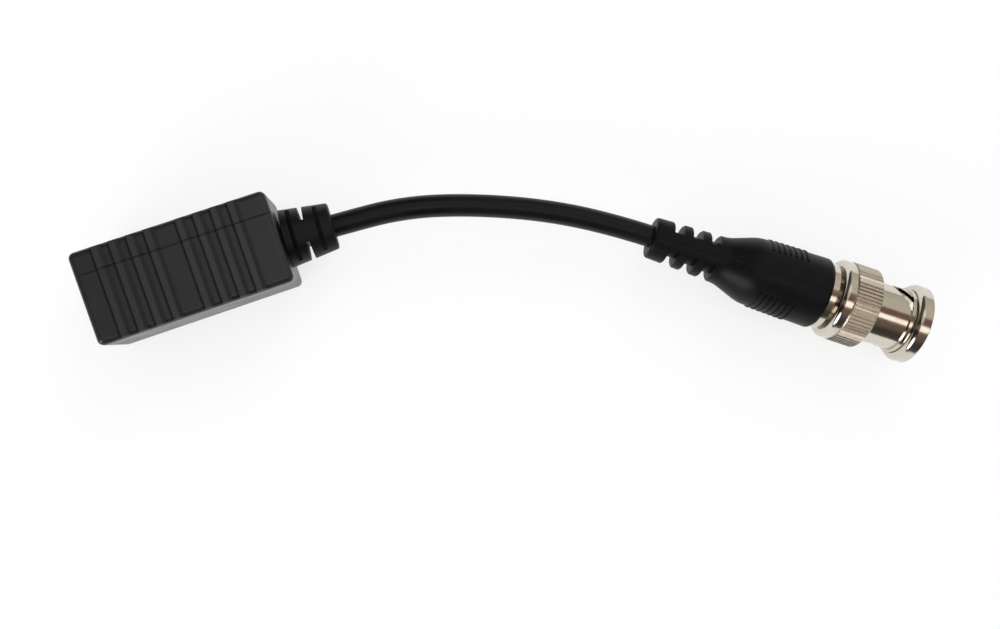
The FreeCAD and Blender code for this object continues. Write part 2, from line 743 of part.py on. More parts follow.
def cable_path():
    """Straight runs through the route's points, joined by tangent arcs."""
    points = [
        relief_place.multVec(Vector(-S.StripJacket.value, 0, 0)),
        relief_place.multVec(Vector(S.ReliefLength.value, 0, 0)),
    ]
    points += [Vector(*bend) for bend in BENDS]
    points += [
        plug_place.multVec(Vector(-S.LastBend.value, 0, 0)),
        plug_place.multVec(Vector(-S.JacketStop.value, 0, 0)),
    ]
    edges = []
    start = points[0]
    for before, corner, after in zip(points, points[1:], points[2:]):
        run_in, run_out = corner - before, after - corner
        turn = run_in.getAngle(run_out)
        shorter = min(run_in.Length, run_out.Length)
        radius = 0.45 * shorter / math.tan(turn / 2)
        print(f"arc of the cable: turn {math.degrees(turn):.1f} degrees, radius {radius:.0f} mm")
        back = Vector(run_in).normalize() * (0.45 * shorter)
        ahead = Vector(run_out).normalize() * (0.45 * shorter)
        middle_way = (ahead - back).normalize()
        centre = corner + middle_way * (radius / math.cos(turn / 2))
        middle = centre - middle_way * radius
        edges.append(Part.LineSegment(start, corner - back).toShape())
        edges.append(Part.Arc(corner - back, middle, corner + ahead).toShape())
        start = corner + ahead
    edges.append(Part.LineSegment(start, points[-1]).toShape())
    return Part.Wire(edges), points[0], points[1] - points[0]


def cable():
    path, start, direction = cable_path()
    ring = Part.Circle(start, direction, cable_radius.value)
    solid = path.makePipeShell([Part.Wire(ring.toShape())], True, False)
    expected = math.pi * cable_radius.value ** 2 * path.Length
    print(f"cable: {path.Length:.1f} mm long, volume {solid.Volume:.1f}, expected {expected:.1f}")
    if abs(solid.Volume - expected) > 0.01 * expected:
        raise RuntimeError("the cable's volume is off")
    feature = doc.addObject("Part::Feature", "cable_jacket")
    feature.Label = "cable_jacket"
    feature.Shape = solid
    parts["cable_jacket"] = feature


def without_cable(body, name):
    """The moulded piece with the cable's own passage cut out of it."""
    cut = doc.addObject("Part::Cut", name)
    cut.Label = name
    cut.Base = body
    cut.Tool = parts["cable_jacket"]
    doc.recompute()
    parts[name] = cut


def stripped_ends():
    jacket_end = -S.StripJacket
    tube("housing_dielectric", -S.StripDielectric, jacket_end,
         S.ConductorRadius, S.DielectricRadius, relief_place)
    tube("housing_braid", -S.StripBraid, jacket_end,
         S.DielectricRadius, S.BraidRadius, relief_place)
    tube("housing_conductor", -S.StripConductor, jacket_end, 0, S.ConductorRadius, relief_place)
    plug_end = -S.JacketStop
    tube("plug_dielectric", plug_end, -S.InsulatorTail,
         S.ConductorRadius, S.DielectricRadius, plug_place)
    tube("plug_braid", plug_end, -S.BarrelStart,
         S.PostOuterRadius, S.CrimpBraidRadius, plug_place)
    tube("plug_conductor", plug_end, -S.PinBoreEnd, 0, S.ConductorRadius, plug_place)


# Bend relief of the housing

def housing_strain_relief():
    body = new_body("housing_strain_relief", keep=False)
    section = new_sketch(body, "relief_section")
    wall = S.HousingEndWall + S.ReliefFlangeGap
    polygon(section, [
        (-wall - S.ReliefFlange, 0),
        (-wall - S.ReliefFlange, S.ReliefFlangeRadius),
        (-wall, S.ReliefFlangeRadius),
        (-wall, S.ReliefNeckRadius),
        (S.ReliefWallGap, S.ReliefNeckRadius),
        (S.ReliefWallGap, S.ReliefStartRadius),
        (S.ReliefLength, S.ReliefEndRadius),
        (S.ReliefLength, 0),
    ])
    revolve(body, section)
    outer = S.ReliefStartRadius * 2
    notch = new_sketch(body, "relief_notches")
    start, core = S.ReliefNotchStart, S.ReliefCore
    for side in (1, -1):
        polygon(notch, [
            (start + S.ReliefNotchFloor / 2, core * side),
            (start + S.ReliefNotchFloor * 1.5, core * side),
            (start + S.ReliefNotchMouth, outer * side),
            (start, outer * side),
        ])
    pocket(body, notch, outer * 2)
    slits = new_sketch(body, "relief_slits", "XZ_Plane")
    for station in (S.ReliefSlitFirst, S.ReliefSlitSecond):
        for side in (1, -1):
            polygon(slits, [
                (station, core * side),
                (station + S.ReliefSlit, core * side),
                (station + S.ReliefSlit, outer * side),
                (station, outer * side),
            ])
    pocket(body, slits, outer * 2)
    round_edges(body, "relief_end", S.ReliefRound,
                lambda edge: ring_at(edge, S.ReliefLength, S.ReliefEndRadius))
    body.Placement = relief_place
    without_cable(body, "housing_strain_relief")


# Plug boot

def boot_radius(back):
    """Radius of the boot's tapered body, a distance behind the front of the knurl."""
    share = (S.BootNeckEnd - back) / (S.BootNeckEnd - S.BootEnd)
    return S.BootBodyRadius + (S.BootEndRadius - S.BootBodyRadius) * share


def plug_boot():
    body = new_body("plug_boot", keep=False)
    section = new_sketch(body, "boot_section")
    polygon(section, [
        (-S.BootStart, 0),
        (-S.BootStart, S.BootTipRadius),
        (-S.BootNeckStart, S.BootCollarRadius),
        (-S.BootNeckEnd, S.BootBodyRadius),
        (-S.BootEnd, S.BootEndRadius),
        (-S.BootEnd, S.BarrelRadius),
        (-S.BarrelStart, S.BarrelRadius),
        (-S.BarrelStart, S.FerruleRadius),
        (-S.PostStart, S.FerruleRadius),
        (-S.PostStart, S.CrimpBraidRadius),
        (-S.JacketStop, S.CrimpBraidRadius),
        (-S.JacketStop, 0),
    ])
    revolve(body, section)
    round_edges(body, "flare_hollow", S.BootFlareHollow,
                lambda edge: ring_at(edge, -S.BootNeckStart, S.BootCollarRadius))
    round_edges(body, "flare_crown", S.BootFlareCrown,
                lambda edge: ring_at(edge, -S.BootNeckEnd, S.BootBodyRadius))
    round_edges(body, "boot_ends", S.BootRound,
                lambda edge: ring_at(edge, -S.BootEnd, S.BootEndRadius)
                or ring_at(edge, -S.BootStart, S.BootTipRadius))
    outer = S.BootEndRadius
    notches = new_sketch(body, "boot_notches")
    for k in range(int(S.NotchCount.value)):
        start = S.NotchPitch * k - S.NotchFirst
        for side in (1, -1):
            polygon(notches, [
                (start + S.NotchFloor / 2, S.NotchCore * side),
                (start + S.NotchFloor * 1.5, S.NotchCore * side),
                (start + S.NotchMouth, outer * side),
                (start, outer * side),
            ])
    pocket(body, notches, outer * 3)

    def segment_corner(edge):
        curve = curve_of(edge)
        x = edge.CenterOfMass.x
        lateral = edge.CenterOfMass.y
        on_relief = -S.BootStart.value + 1 < x < -S.NotchFirst.value + 3 * S.NotchPitch.value
        flat = isinstance(curve, Part.Circle) or isinstance(curve, Part.Ellipse)
        return on_relief and flat and abs(lateral) > S.NotchCore.value

    round_edges(body, "segment_rounding", S.SegmentRound, segment_corner)
    for side, name in ((1, "left"), (-1, "right")):
        grips = new_sketch(body, f"grips_{name}")
        for k in range(int(S.GripCount.value)):
            back = S.GripFirst - S.GripPitch * k
            foot = boot_radius(back) - S.GripHeight
            crest = boot_radius(back) + S.GripHeight * 0.7
            spread = (S.GripWidth - S.GripCrest) / 2
            polygon(grips, [
                (-back, foot * side),
                (-back + S.GripWidth, foot * side),
                (-back + S.GripWidth - spread, crest * side),
                (-back + spread, crest * side),
            ])
        revolve(body, grips, "X_Axis", S.GripAngle, midplane=True)
    body.Placement = plug_place
    without_cable(body, "plug_boot")


# Plug metalwork

def plug_body():
    turned("plug_body", [
        (-S.PostStart, S.DielectricRadius + S.FitGap),
        (-S.SpigotReach, S.DielectricRadius + S.FitGap),
        (-S.SpigotReach, S.SpigotRadius),
        (collar_back, S.SpigotRadius),
        (collar_back, S.JournalRadius),
        (-S.BodyRingEnd, S.JournalRadius),
        (-S.BodyRingEnd, S.BodyRingRadius),
        (-S.BodyRingStart, S.BodyRingRadius),
        (-S.BodyRingStart, S.BarrelRadius),
        (-S.BarrelStart, S.BarrelRadius),
        (-S.BarrelStart, S.PostOuterRadius),
        (-S.PostStart, S.PostOuterRadius),
    ], plug_place)


def outer_contact():
    body = turned("outer_contact", [
        (collar_back, S.SpigotRadius),
        (-S.SpigotReach, S.SpigotRadius),
        (-S.SpigotReach, S.ContactBore),
        (S.ContactFront, S.ContactBore),
        (S.ContactFront, S.ContactRadius),
        (collar_front, S.ContactRadius),
        (collar_front, S.WasherRadius),
        (collar_back, S.WasherRadius),
    ], plug_place)
    for plane, name in (("XY_Plane", "level"), ("XZ_Plane", "upright")):
        slit = new_sketch(body, f"contact_slit_{name}", plane)
        rectangle(slit, S.ContactSlitStart, -S.ContactSlit / 2,
                  S.ContactFront + 1, S.ContactSlit / 2)
        pocket(body, slit, S.ContactRadius * 2 + 2)


def small_turned_parts():
    tube("crimp_ferrule", -S.PostStart, -S.BarrelStart,
         S.CrimpBraidRadius, S.FerruleRadius, plug_place)
    tube("gasket_ring", collar_front, collar_front + S.GasketThickness,
         S.ContactRadius, S.WasherRadius, plug_place)
    tube("thrust_washer", washer_back, washer_back + S.WasherThickness,
         washer_bore, S.WasherRadius, plug_place)
    turned("contact_insulator", [
        (-S.InsulatorTail, S.PinBarrelRadius),
        (-S.PinShoulder, S.PinBarrelRadius),
        (-S.PinShoulder, S.PinRadius),
        (S.InsulatorFront, S.PinRadius),
        (S.InsulatorFront, S.ContactBore),
        (-S.SpigotReach, S.ContactBore),
        (-S.SpigotReach, S.DielectricRadius + S.FitGap),
        (-S.InsulatorTail, S.DielectricRadius + S.FitGap),
    ], plug_place)
    point = S.PinRadius / 3
    turned("centre_pin", [
        (-S.InsulatorTail, S.ConductorRadius),
        (-S.PinBoreEnd, S.ConductorRadius),
        (-S.PinBoreEnd, 0),
        (S.PinFront, 0),
        (S.PinFront, point),
        (S.PinFront - S.PinRadius, S.PinRadius),
        (-S.PinShoulder, S.PinRadius),
        (-S.PinShoulder, S.PinBarrelRadius),
        (-S.InsulatorTail, S.PinBarrelRadius),
    ], plug_place)


def wavy_ring(radius, middle, swing):
    """A closed curve round X that waves along it."""
    steps = 12 * int(S.WaveCount.value)
    points = []
    for k in range(steps):
        angle = 2 * math.pi * k / steps
        x = middle + swing * math.cos(S.WaveCount.value * angle)
        points.append(Vector(x, radius * math.cos(angle), radius * math.sin(angle)))
    curve = Part.BSplineCurve()
    curve.interpolate(points, PeriodicFlag=True)
    return curve.toShape()


def wave_washer():
    """Spring washer between two wavy faces, an even thickness apart."""
    thick = S.WaveThickness.value
    swing = (S.WaveHeight.value - thick) / 2
    rear = wave_back.value + swing
    inner, outer = (S.JournalRadius + S.RunGap * 3).value, S.WasherRadius.value
    rings = [[wavy_ring(r, x, swing) for r in (inner, outer)] for x in (rear, rear + thick)]
    faces = [
        Part.makeRuledSurface(rings[0][0], rings[0][1]),
        Part.makeRuledSurface(rings[1][0], rings[1][1]),
        Part.makeRuledSurface(rings[0][0], rings[1][0]),
        Part.makeRuledSurface(rings[0][1], rings[1][1]),
    ]
    shell = Part.makeShell(faces)
    solid = Part.makeSolid(shell)
    if solid.Volume < 0:
        solid.reverse()
    feature = doc.addObject("Part::Feature", "wave_washer")
    feature.Label = "wave_washer"
    feature.Shape = solid
    feature.Placement = plug_place
    parts["wave_washer"] = feature


def coupling_nut():
    flange_back = S.WaistEnd + S.StepWidth + S.LineGroove
    groove_floor = S.KnurlRadius - S.NeckGrooveDepth
    body = turned("coupling_nut", [
        (-S.NutRear, washer_bore),
        (-S.NutRear, S.RearRadius),
        (-S.KnurlLength - S.NeckGroove, S.RearRadius),
        (-S.KnurlLength - S.NeckGroove, groove_floor),
        (-S.KnurlLength, groove_floor),
        (-S.KnurlLength, S.KnurlRadius),
        (-S.KnurlChamfer, S.KnurlRadius),
        (0, S.KnurlRadius - S.KnurlChamfer),
        (0, S.WaistRadius),
        (S.WaistEnd, S.WaistRadius),
        (S.WaistEnd, S.StepRadius),
        (S.WaistEnd + S.StepWidth, S.StepRadius),
        (S.WaistEnd + S.StepWidth, S.StepRadius - S.LineGroove),
        (flange_back, S.StepRadius - S.LineGroove),
        (flange_back, S.FlangeRadius),
        (S.NutFront, S.FlangeRadius),
        (S.NutFront, S.NutBore + S.MouthChamfer),
        (S.NutFront - S.MouthChamfer, S.NutBore),
        (lip_front, S.NutBore),
        (lip_front, washer_bore),
    ], plug_place)
    round_edges(body, "rear_round", S.RearRound,
                lambda edge: ring_at(edge, -S.NutRear, S.RearRadius))
    round_edges(body, "flange_round", S.FlangeRound,
                lambda edge: ring_at(edge, flange_back, S.FlangeRadius))
    round_edges(body, "flange_front_round", S.FlangeFrontRound,
                lambda edge: ring_at(edge, S.NutFront, S.FlangeRadius))
    bayonet_slots(body)
    groove = new_sketch(body, "knurl_groove", "YZ_Plane", -S.KnurlLength - S.NeckGroove / 2)
    spread = S.KnurlRadius * (math.pi / S.KnurlCount.value)
    polygon(groove, [
        (S.KnurlRadius - S.KnurlDepth, 0),
        (S.KnurlRadius + S.KnurlDepth / 4, -spread),
        (S.KnurlRadius + S.KnurlDepth / 4, spread),
    ])
    cut = pocket(body, groove, S.KnurlLength + S.NeckGroove, symmetric=False, reverse=True)
    round_about(body, [cut], "X_Axis", S.KnurlCount)


def bayonet_slots(body):
    """Two slots: in at the front, round a ramp, and into a seat hole through the waist."""
    half = S.SlotWidth / 2
    height = S.RampEnd - S.SeatPlace
    entry_angle = S.SeatAngle + height * 360 / S.SlotPitch
    seat = new_sketch(body, "slot_seat", "XY_Plane", S.SlotRadius + 1, S.SeatAngle - 90)
    circle(seat, S.SeatPlace, 0, S.SeatRadius)
    hole = pocket(body, seat, 2, symmetric=False)
    entry = new_sketch(body, "slot_entry", "XY_Plane", S.SlotRadius, entry_angle - 90)
    rectangle(entry, S.RampEnd - half, -half, S.NutFront + 1, half)
    way_in = pocket(body, entry, 1, symmetric=False)
    ramp = new_sketch(body, "ramp_section", "XY_Plane", 0, S.SeatAngle)
    rectangle(ramp, S.SeatPlace - half, S.NutBore - 0.3, S.SeatPlace + half, S.SlotRadius)
    helix = body.newObject("PartDesign::SubtractiveHelix", "bayonet_ramp")
    helix.Profile = ramp
    helix.ReferenceAxis = (origin_feature(body, "X_Axis"), [""])
    helix.Mode = "pitch-height-angle"
    helix.Pitch = S.SlotPitch.value
    helix.setExpression("Pitch", S.SlotPitch.text)
    helix.Height = height.value
    helix.setExpression("Height", height.text)
    doc.recompute()
    round_about(body, [hole, way_in, helix], "X_Axis", 2)


def check_and_write():
    """Stops on any failed object or bad solid, then writes one file for each piece."""
    doc.recompute()
    for item in doc.Objects:
        if "Invalid" in item.State or "Error" in item.State:
            raise RuntimeError(f"{item.Label} failed: {item.State}")
    for name, item in parts.items():
        if item.Shape.isNull() or not item.Shape.isValid() or not item.Shape.Solids:
            raise RuntimeError(f"{name} has no valid solid")
    os.makedirs("parts", exist_ok=True)
    whole = FreeCAD.BoundBox()
    for name, item in parts.items():
        item.Shape.exportStep(f"parts/{name}.step")
        whole.add(item.Shape.BoundBox)
    print(f"{len(parts)} pieces, x {whole.XMin:.2f} to {whole.XMax:.2f}, "
          f"y {whole.YMin:.2f} to {whole.YMax:.2f}, z {whole.ZMin:.2f} to {whole.ZMax:.2f}")


housing_base()
housing_cover()
jack_body()
jack_contacts()
circuit_board()
transformer()
board_parts()
cable()
stripped_ends()
housing_strain_relief()
plug_boot()
plug_body()
outer_contact()
small_turned_parts()
wave_washer()
coupling_nut()
check_and_write()
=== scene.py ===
import math

import bpy
from bpy.props import FloatProperty, FloatVectorProperty, PointerProperty
from mathutils import Matrix, Vector


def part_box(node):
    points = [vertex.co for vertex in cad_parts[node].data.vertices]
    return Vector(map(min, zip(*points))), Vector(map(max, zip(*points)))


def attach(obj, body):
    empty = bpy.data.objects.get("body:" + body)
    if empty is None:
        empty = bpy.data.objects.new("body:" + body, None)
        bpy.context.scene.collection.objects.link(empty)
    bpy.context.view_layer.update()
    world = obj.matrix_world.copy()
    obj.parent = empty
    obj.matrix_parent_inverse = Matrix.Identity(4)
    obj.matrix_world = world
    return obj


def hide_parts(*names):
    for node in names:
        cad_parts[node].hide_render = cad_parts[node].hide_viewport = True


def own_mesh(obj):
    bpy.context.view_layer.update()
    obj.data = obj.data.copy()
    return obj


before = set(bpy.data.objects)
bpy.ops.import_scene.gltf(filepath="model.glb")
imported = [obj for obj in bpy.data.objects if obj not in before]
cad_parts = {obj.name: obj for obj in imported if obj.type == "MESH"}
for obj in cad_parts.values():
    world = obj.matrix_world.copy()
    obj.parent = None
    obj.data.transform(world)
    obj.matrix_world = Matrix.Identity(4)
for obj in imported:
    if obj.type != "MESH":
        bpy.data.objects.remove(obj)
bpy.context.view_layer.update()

bl_info = {
    "name": "Video balun",
    "version": (1, 0, 0),
    "blender": (4, 5, 0),
    "location": "3D View > Sidebar > Video balun",
    "description": "Finishes the video balun's pieces and sets the stage around them",
    "category": "Object",
}

# Plug: where its axis starts, its direction seen from above, and its knurl's length, in metres
PLUG_PLACE = (0.05631, -0.02037, 0.00725)
PLUG_YAW = math.radians(-37.1)
KNURL_LENGTH = 0.0048

# Route of the cable from the housing's relief to the plug's boot
CABLE_ROUTE = [
    (-0.038846, 0.024042, 0.0088),
    (-0.027361, 0.023460, 0.0088),
    (-0.015100, 0.022700, 0.00865),
    (-0.003000, 0.019100, 0.00835),
    (0.009900, 0.013500, 0.0078),
    (0.021340, 0.006330, 0.00735),
    (0.030787, -0.001067, 0.00725),
    (0.039959, -0.008004, 0.00725),
]

# Ribs on the housing's two flat sides, in metres along X from the jack's end
RIB_STARTS = (0.0039, 0.01755)
RIB_PITCH = 0.00283
RIB_COUNT = 4
RIB_HEIGHT = 0.0003

# Painted highlight on a rib's crest and painted shade beside it: share of a pitch that starts a
# lead before the rib, and level
RIB_LEAD = 0.25
RIB_TAIL = 0.05
CREST_HIGHLIGHT_MARKS = [(0.0, 0.0), (0.25, 0.0), (0.33, 0.8), (0.42, 1.0), (0.54, 0.9), (0.62, 0.0)]
FOOT_SHADE_MARKS = [(0.0, 0.0), (0.10, 0.0), (0.17, 0.7), (0.24, 0.7), (0.28, 0.0), (0.62, 0.0),
              (0.66, 0.5), (0.80, 0.45), (0.90, 0.0)]
# Painted highlight and painted shade: colour factor of the crest's highlight and of the shade,
# share of gloss left in the shade, and strength of the shade on the edge fillets
CREST_HIGHLIGHT = 2.2
FOOT_SHADE = 0.3
SHADE_SHINE = 0.2
EDGE_SHADE_LEVEL = 0.5

# Metres below a side's face where the painted highlight and shade fade in, and where the
# painted shade on its edge fillet fades in and out
MARKS_IN = (0.0006, 0.0002)
EDGE_IN = (0.0014, 0.0010)
EDGE_OUT = (0.0005, 0.00005)

# Boot's outline: place of each knee on the plug's axis, radius and softness, in metres
BOOT_KNEES = [
    (-0.04065, 0.00365, 0.0),
    (-0.02730, 0.00422, 0.0010),
    (-0.02230, 0.00602, 0.0012),
    (-0.00875, 0.00643, 0.0),
]
BOOT_TIP_ROUND = 0.0005
BOOT_NUT_ROUND = 0.0007

# Open notches on both sides of the boot: places and radii of their floors in metres, degrees
NOTCH_STARTS = (-0.03735, -0.03400, -0.03065)
NOTCH_CORES = (0.00225, 0.00252, 0.00279)
NOTCH_HALF_ANGLE = 65.5

# Grip ridges on both sides of the boot: places and half widths in metres, and degrees
GRIP_FIRST = -0.02020
GRIP_PITCH = 0.00105
GRIP_COUNT = 7
GRIP_FOOT = 0.00019
GRIP_CREST = 0.00011
GRIP_HALF_ANGLE = 50.0

# Mesh of the boot: rings along it and round its ends, and gaps beside its walls
BOOT_RINGS = 100
ROUND_RINGS = 6
ANGLE_STEP = 2.5
WALL_GAP = 0.00001
WALL_GAP_ANGLE = 0.2
SHARP_ANGLE = math.radians(32)

# Moulded grain of the boot and the bend relief: its size and depth in metres
BOOT_GRAIN = (0.0004, 0.000012)

# Lamps: place in metres, size in metres and share of the lamp power
LAMPS = [
    ("lamp_left", (-0.42, -0.24, 0.22), 0.22, 0.7),
    ("lamp_right", (0.30, 0.40, 0.42), 0.35, 0.8),
    ("lamp_top", (-0.05, 0.05, 0.60), 0.5, 0.7),
]

# What gloss mirrors from one side of the plug to the other: share of the half turn and colour
ROOM_BANDS = [
    (0.000, (0.10, 0.092, 0.090)),
    (0.060, (0.06, 0.056, 0.054)),
    (0.160, (0.045, 0.042, 0.040)),
    (0.260, (0.15, 0.115, 0.095)),
    (0.385, (0.20, 0.130, 0.100)),
    (0.405, (1.6, 1.5, 1.38)),
    (0.475, (1.6, 1.5, 1.38)),
    (0.500, (0.19, 0.105, 0.090)),
    (0.610, (0.18, 0.095, 0.080)),
    (0.640, (0.61, 0.575, 0.47)),
    (0.800, (0.63, 0.60, 0.51)),
    (1.000, (0.50, 0.47, 0.41)),
]

# How that fades along the plug's axis: directions from and to, and levels from and to
ROOM_ENDS = [
    (-0.25, 0.12, 0.12, 1.0),
    (0.82, 1.14, 1.0, 0.12),
]

# Soft lights that gloss mirrors: direction, outer and inner half width in degrees, and level
SOFT_PATCHES = [
    ((0.15, 0.35, 0.92), 31, 8, 0.6),
    ((-0.77, -0.46, 0.44), 24, 8, 5.0),
]

WHITE = (1, 1, 1, 1)
PAPER_SIZE = 3
PAPER_GLOW = 0.75


# Settings that a user would change

class StudioSettings(bpy.types.PropertyGroup):
    camera_place: FloatVectorProperty(
        name="Camera place", description="Where the camera stands, above the part",
        default=(-0.023418, 0.002710, 0.188480), subtype="TRANSLATION", unit="LENGTH")
    camera_turn: FloatVectorProperty(
        name="Camera turn", description="How the camera is turned",
        default=(math.radians(1.0692), math.radians(-5.5959), math.radians(-19.2837)),
        subtype="EULER")
    focal_length: FloatProperty(
        name="Focal length", description="Lens for a sensor 36 mm wide",
        default=38.06, min=10, unit="CAMERA")
    lamp_power: FloatProperty(
        name="Lamp power", description="Power of the main soft lamp",
        default=1.6, min=0, subtype="POWER")
    fill_level: FloatProperty(
        name="Fill", description="Even light from all around", default=0.62, min=0, max=2)
    floor_colour: FloatVectorProperty(
        name="Floor", description="Colour of the paper that the part lies on",
        default=(0.86, 0.86, 0.865), subtype="COLOR", min=0, max=1)


class CableSettings(bpy.types.PropertyGroup):
    diameter: FloatProperty(
        name="Diameter", description="Outside of the jacket",
        default=0.0039, min=0.001, unit="LENGTH")
    length: FloatProperty(
        name="Length", description="Length of cable between its stripped ends",
        default=0.0872, min=0.01, unit="LENGTH")
    colour: FloatVectorProperty(
        name="Colour", description="Colour of the jacket",
        default=(0.0024, 0.0029, 0.0037), subtype="COLOR", min=0, max=1)
    roughness: FloatProperty(
        name="Roughness", description="How matt the jacket is",
        default=0.36, min=0, max=1, subtype="FACTOR")
    shine: FloatProperty(
        name="Shine", description="How strongly the jacket mirrors",
        default=0.24, min=0, max=1, subtype="FACTOR")


class ShellSettings(bpy.types.PropertyGroup):
    colour: FloatVectorProperty(
        name="Colour", description="Colour of the housing's plastic",
        default=(0.0053, 0.0057, 0.0063), subtype="COLOR", min=0, max=1)
    roughness: FloatProperty(
        name="Roughness", description="How matt the housing is",
        default=0.36, min=0, max=1, subtype="FACTOR")
    shine: FloatProperty(
        name="Shine", description="How strongly the housing mirrors",
        default=0.66, min=0, max=1, subtype="FACTOR")
    seam_width: FloatProperty(
        name="Seam width", description="Half width of the line between the shells",
        default=0.00014, min=0.00001, unit="LENGTH")
    grain_size: FloatProperty(
        name="Grain size", description="Size of the moulded grain",
        default=0.00022, min=0.00001, unit="LENGTH")
    grain_depth: FloatProperty(
        name="Grain depth", description="Depth of the moulded grain",
        default=0.000012, min=0, unit="LENGTH")


class BootSettings(bpy.types.PropertyGroup):
    colour: FloatVectorProperty(
        name="Colour", description="Colour of the moulded boot",
        default=(0.0017, 0.0020, 0.0025), subtype="COLOR", min=0, max=1)
    roughness: FloatProperty(
        name="Roughness", description="How matt the boot is",
        default=0.42, min=0, max=1, subtype="FACTOR")
    shine: FloatProperty(
        name="Shine", description="How strongly the boot mirrors",
        default=0.17, min=0, max=1, subtype="FACTOR")
    relief_colour: FloatVectorProperty(
        name="Relief colour", description="Colour of the housing's bend relief",
        default=(0.0045, 0.0046, 0.0064), subtype="COLOR", min=0, max=1)
    seam_width: FloatProperty(
        name="Seam width", description="Half width of the mould's parting line",
        default=0.00010, min=0.00001, unit="LENGTH")
    notch_width: FloatProperty(
        name="Notch width", description="Width of the boot's open notches",
        default=0.0017, min=0.0005, max=0.0025, unit="LENGTH")
    notch_bevel: FloatProperty(
        name="Notch bevel", description="Bevel round the mouth of a notch",
        default=0.00025, min=0.00002, max=0.0005, unit="LENGTH")
    grip_height: FloatProperty(
        name="Grip height", description="How far the boot's grip ridges stand proud",
        default=0.00021, min=0, max=0.0003, unit="LENGTH")


class MetalSettings(bpy.types.PropertyGroup):
    colour: FloatVectorProperty(
        name="Colour", description="Colour of the plating",
        default=(0.66, 0.62, 0.55), subtype="COLOR", min=0, max=1)
    roughness: FloatProperty(
        name="Roughness", description="How dull the plating is",
        default=0.13, min=0, max=1, subtype="FACTOR")
    knurl_haze: FloatProperty(
        name="Knurl haze", description="How much duller the knurl is than the rest",
        default=0.14, min=0, max=1, subtype="FACTOR")


class SpringSettings(bpy.types.PropertyGroup):
    nut_travel: FloatProperty(
        name="Nut travel", description="How far the nut is drawn forward against the spring",
        default=0.0008, min=0.0001, unit="LENGTH")


class InsideSettings(bpy.types.PropertyGroup):
    board_colour: FloatVectorProperty(
        name="Board", description="Colour of the board's mask",
        default=(0.012, 0.09, 0.035), subtype="COLOR", min=0, max=1)
    gold_colour: FloatVectorProperty(
        name="Gold", description="Colour of the jack's wires and the pin",
        default=(0.86, 0.6, 0.24), subtype="COLOR", min=0, max=1)


SETTINGS = {
    "balun_studio": StudioSettings,
    "balun_cable": CableSettings,
    "balun_shells": ShellSettings,
    "balun_boots": BootSettings,
    "balun_metal": MetalSettings,
    "balun_spring": SpringSettings,
    "balun_inside": InsideSettings,
}


# Helpers for materials

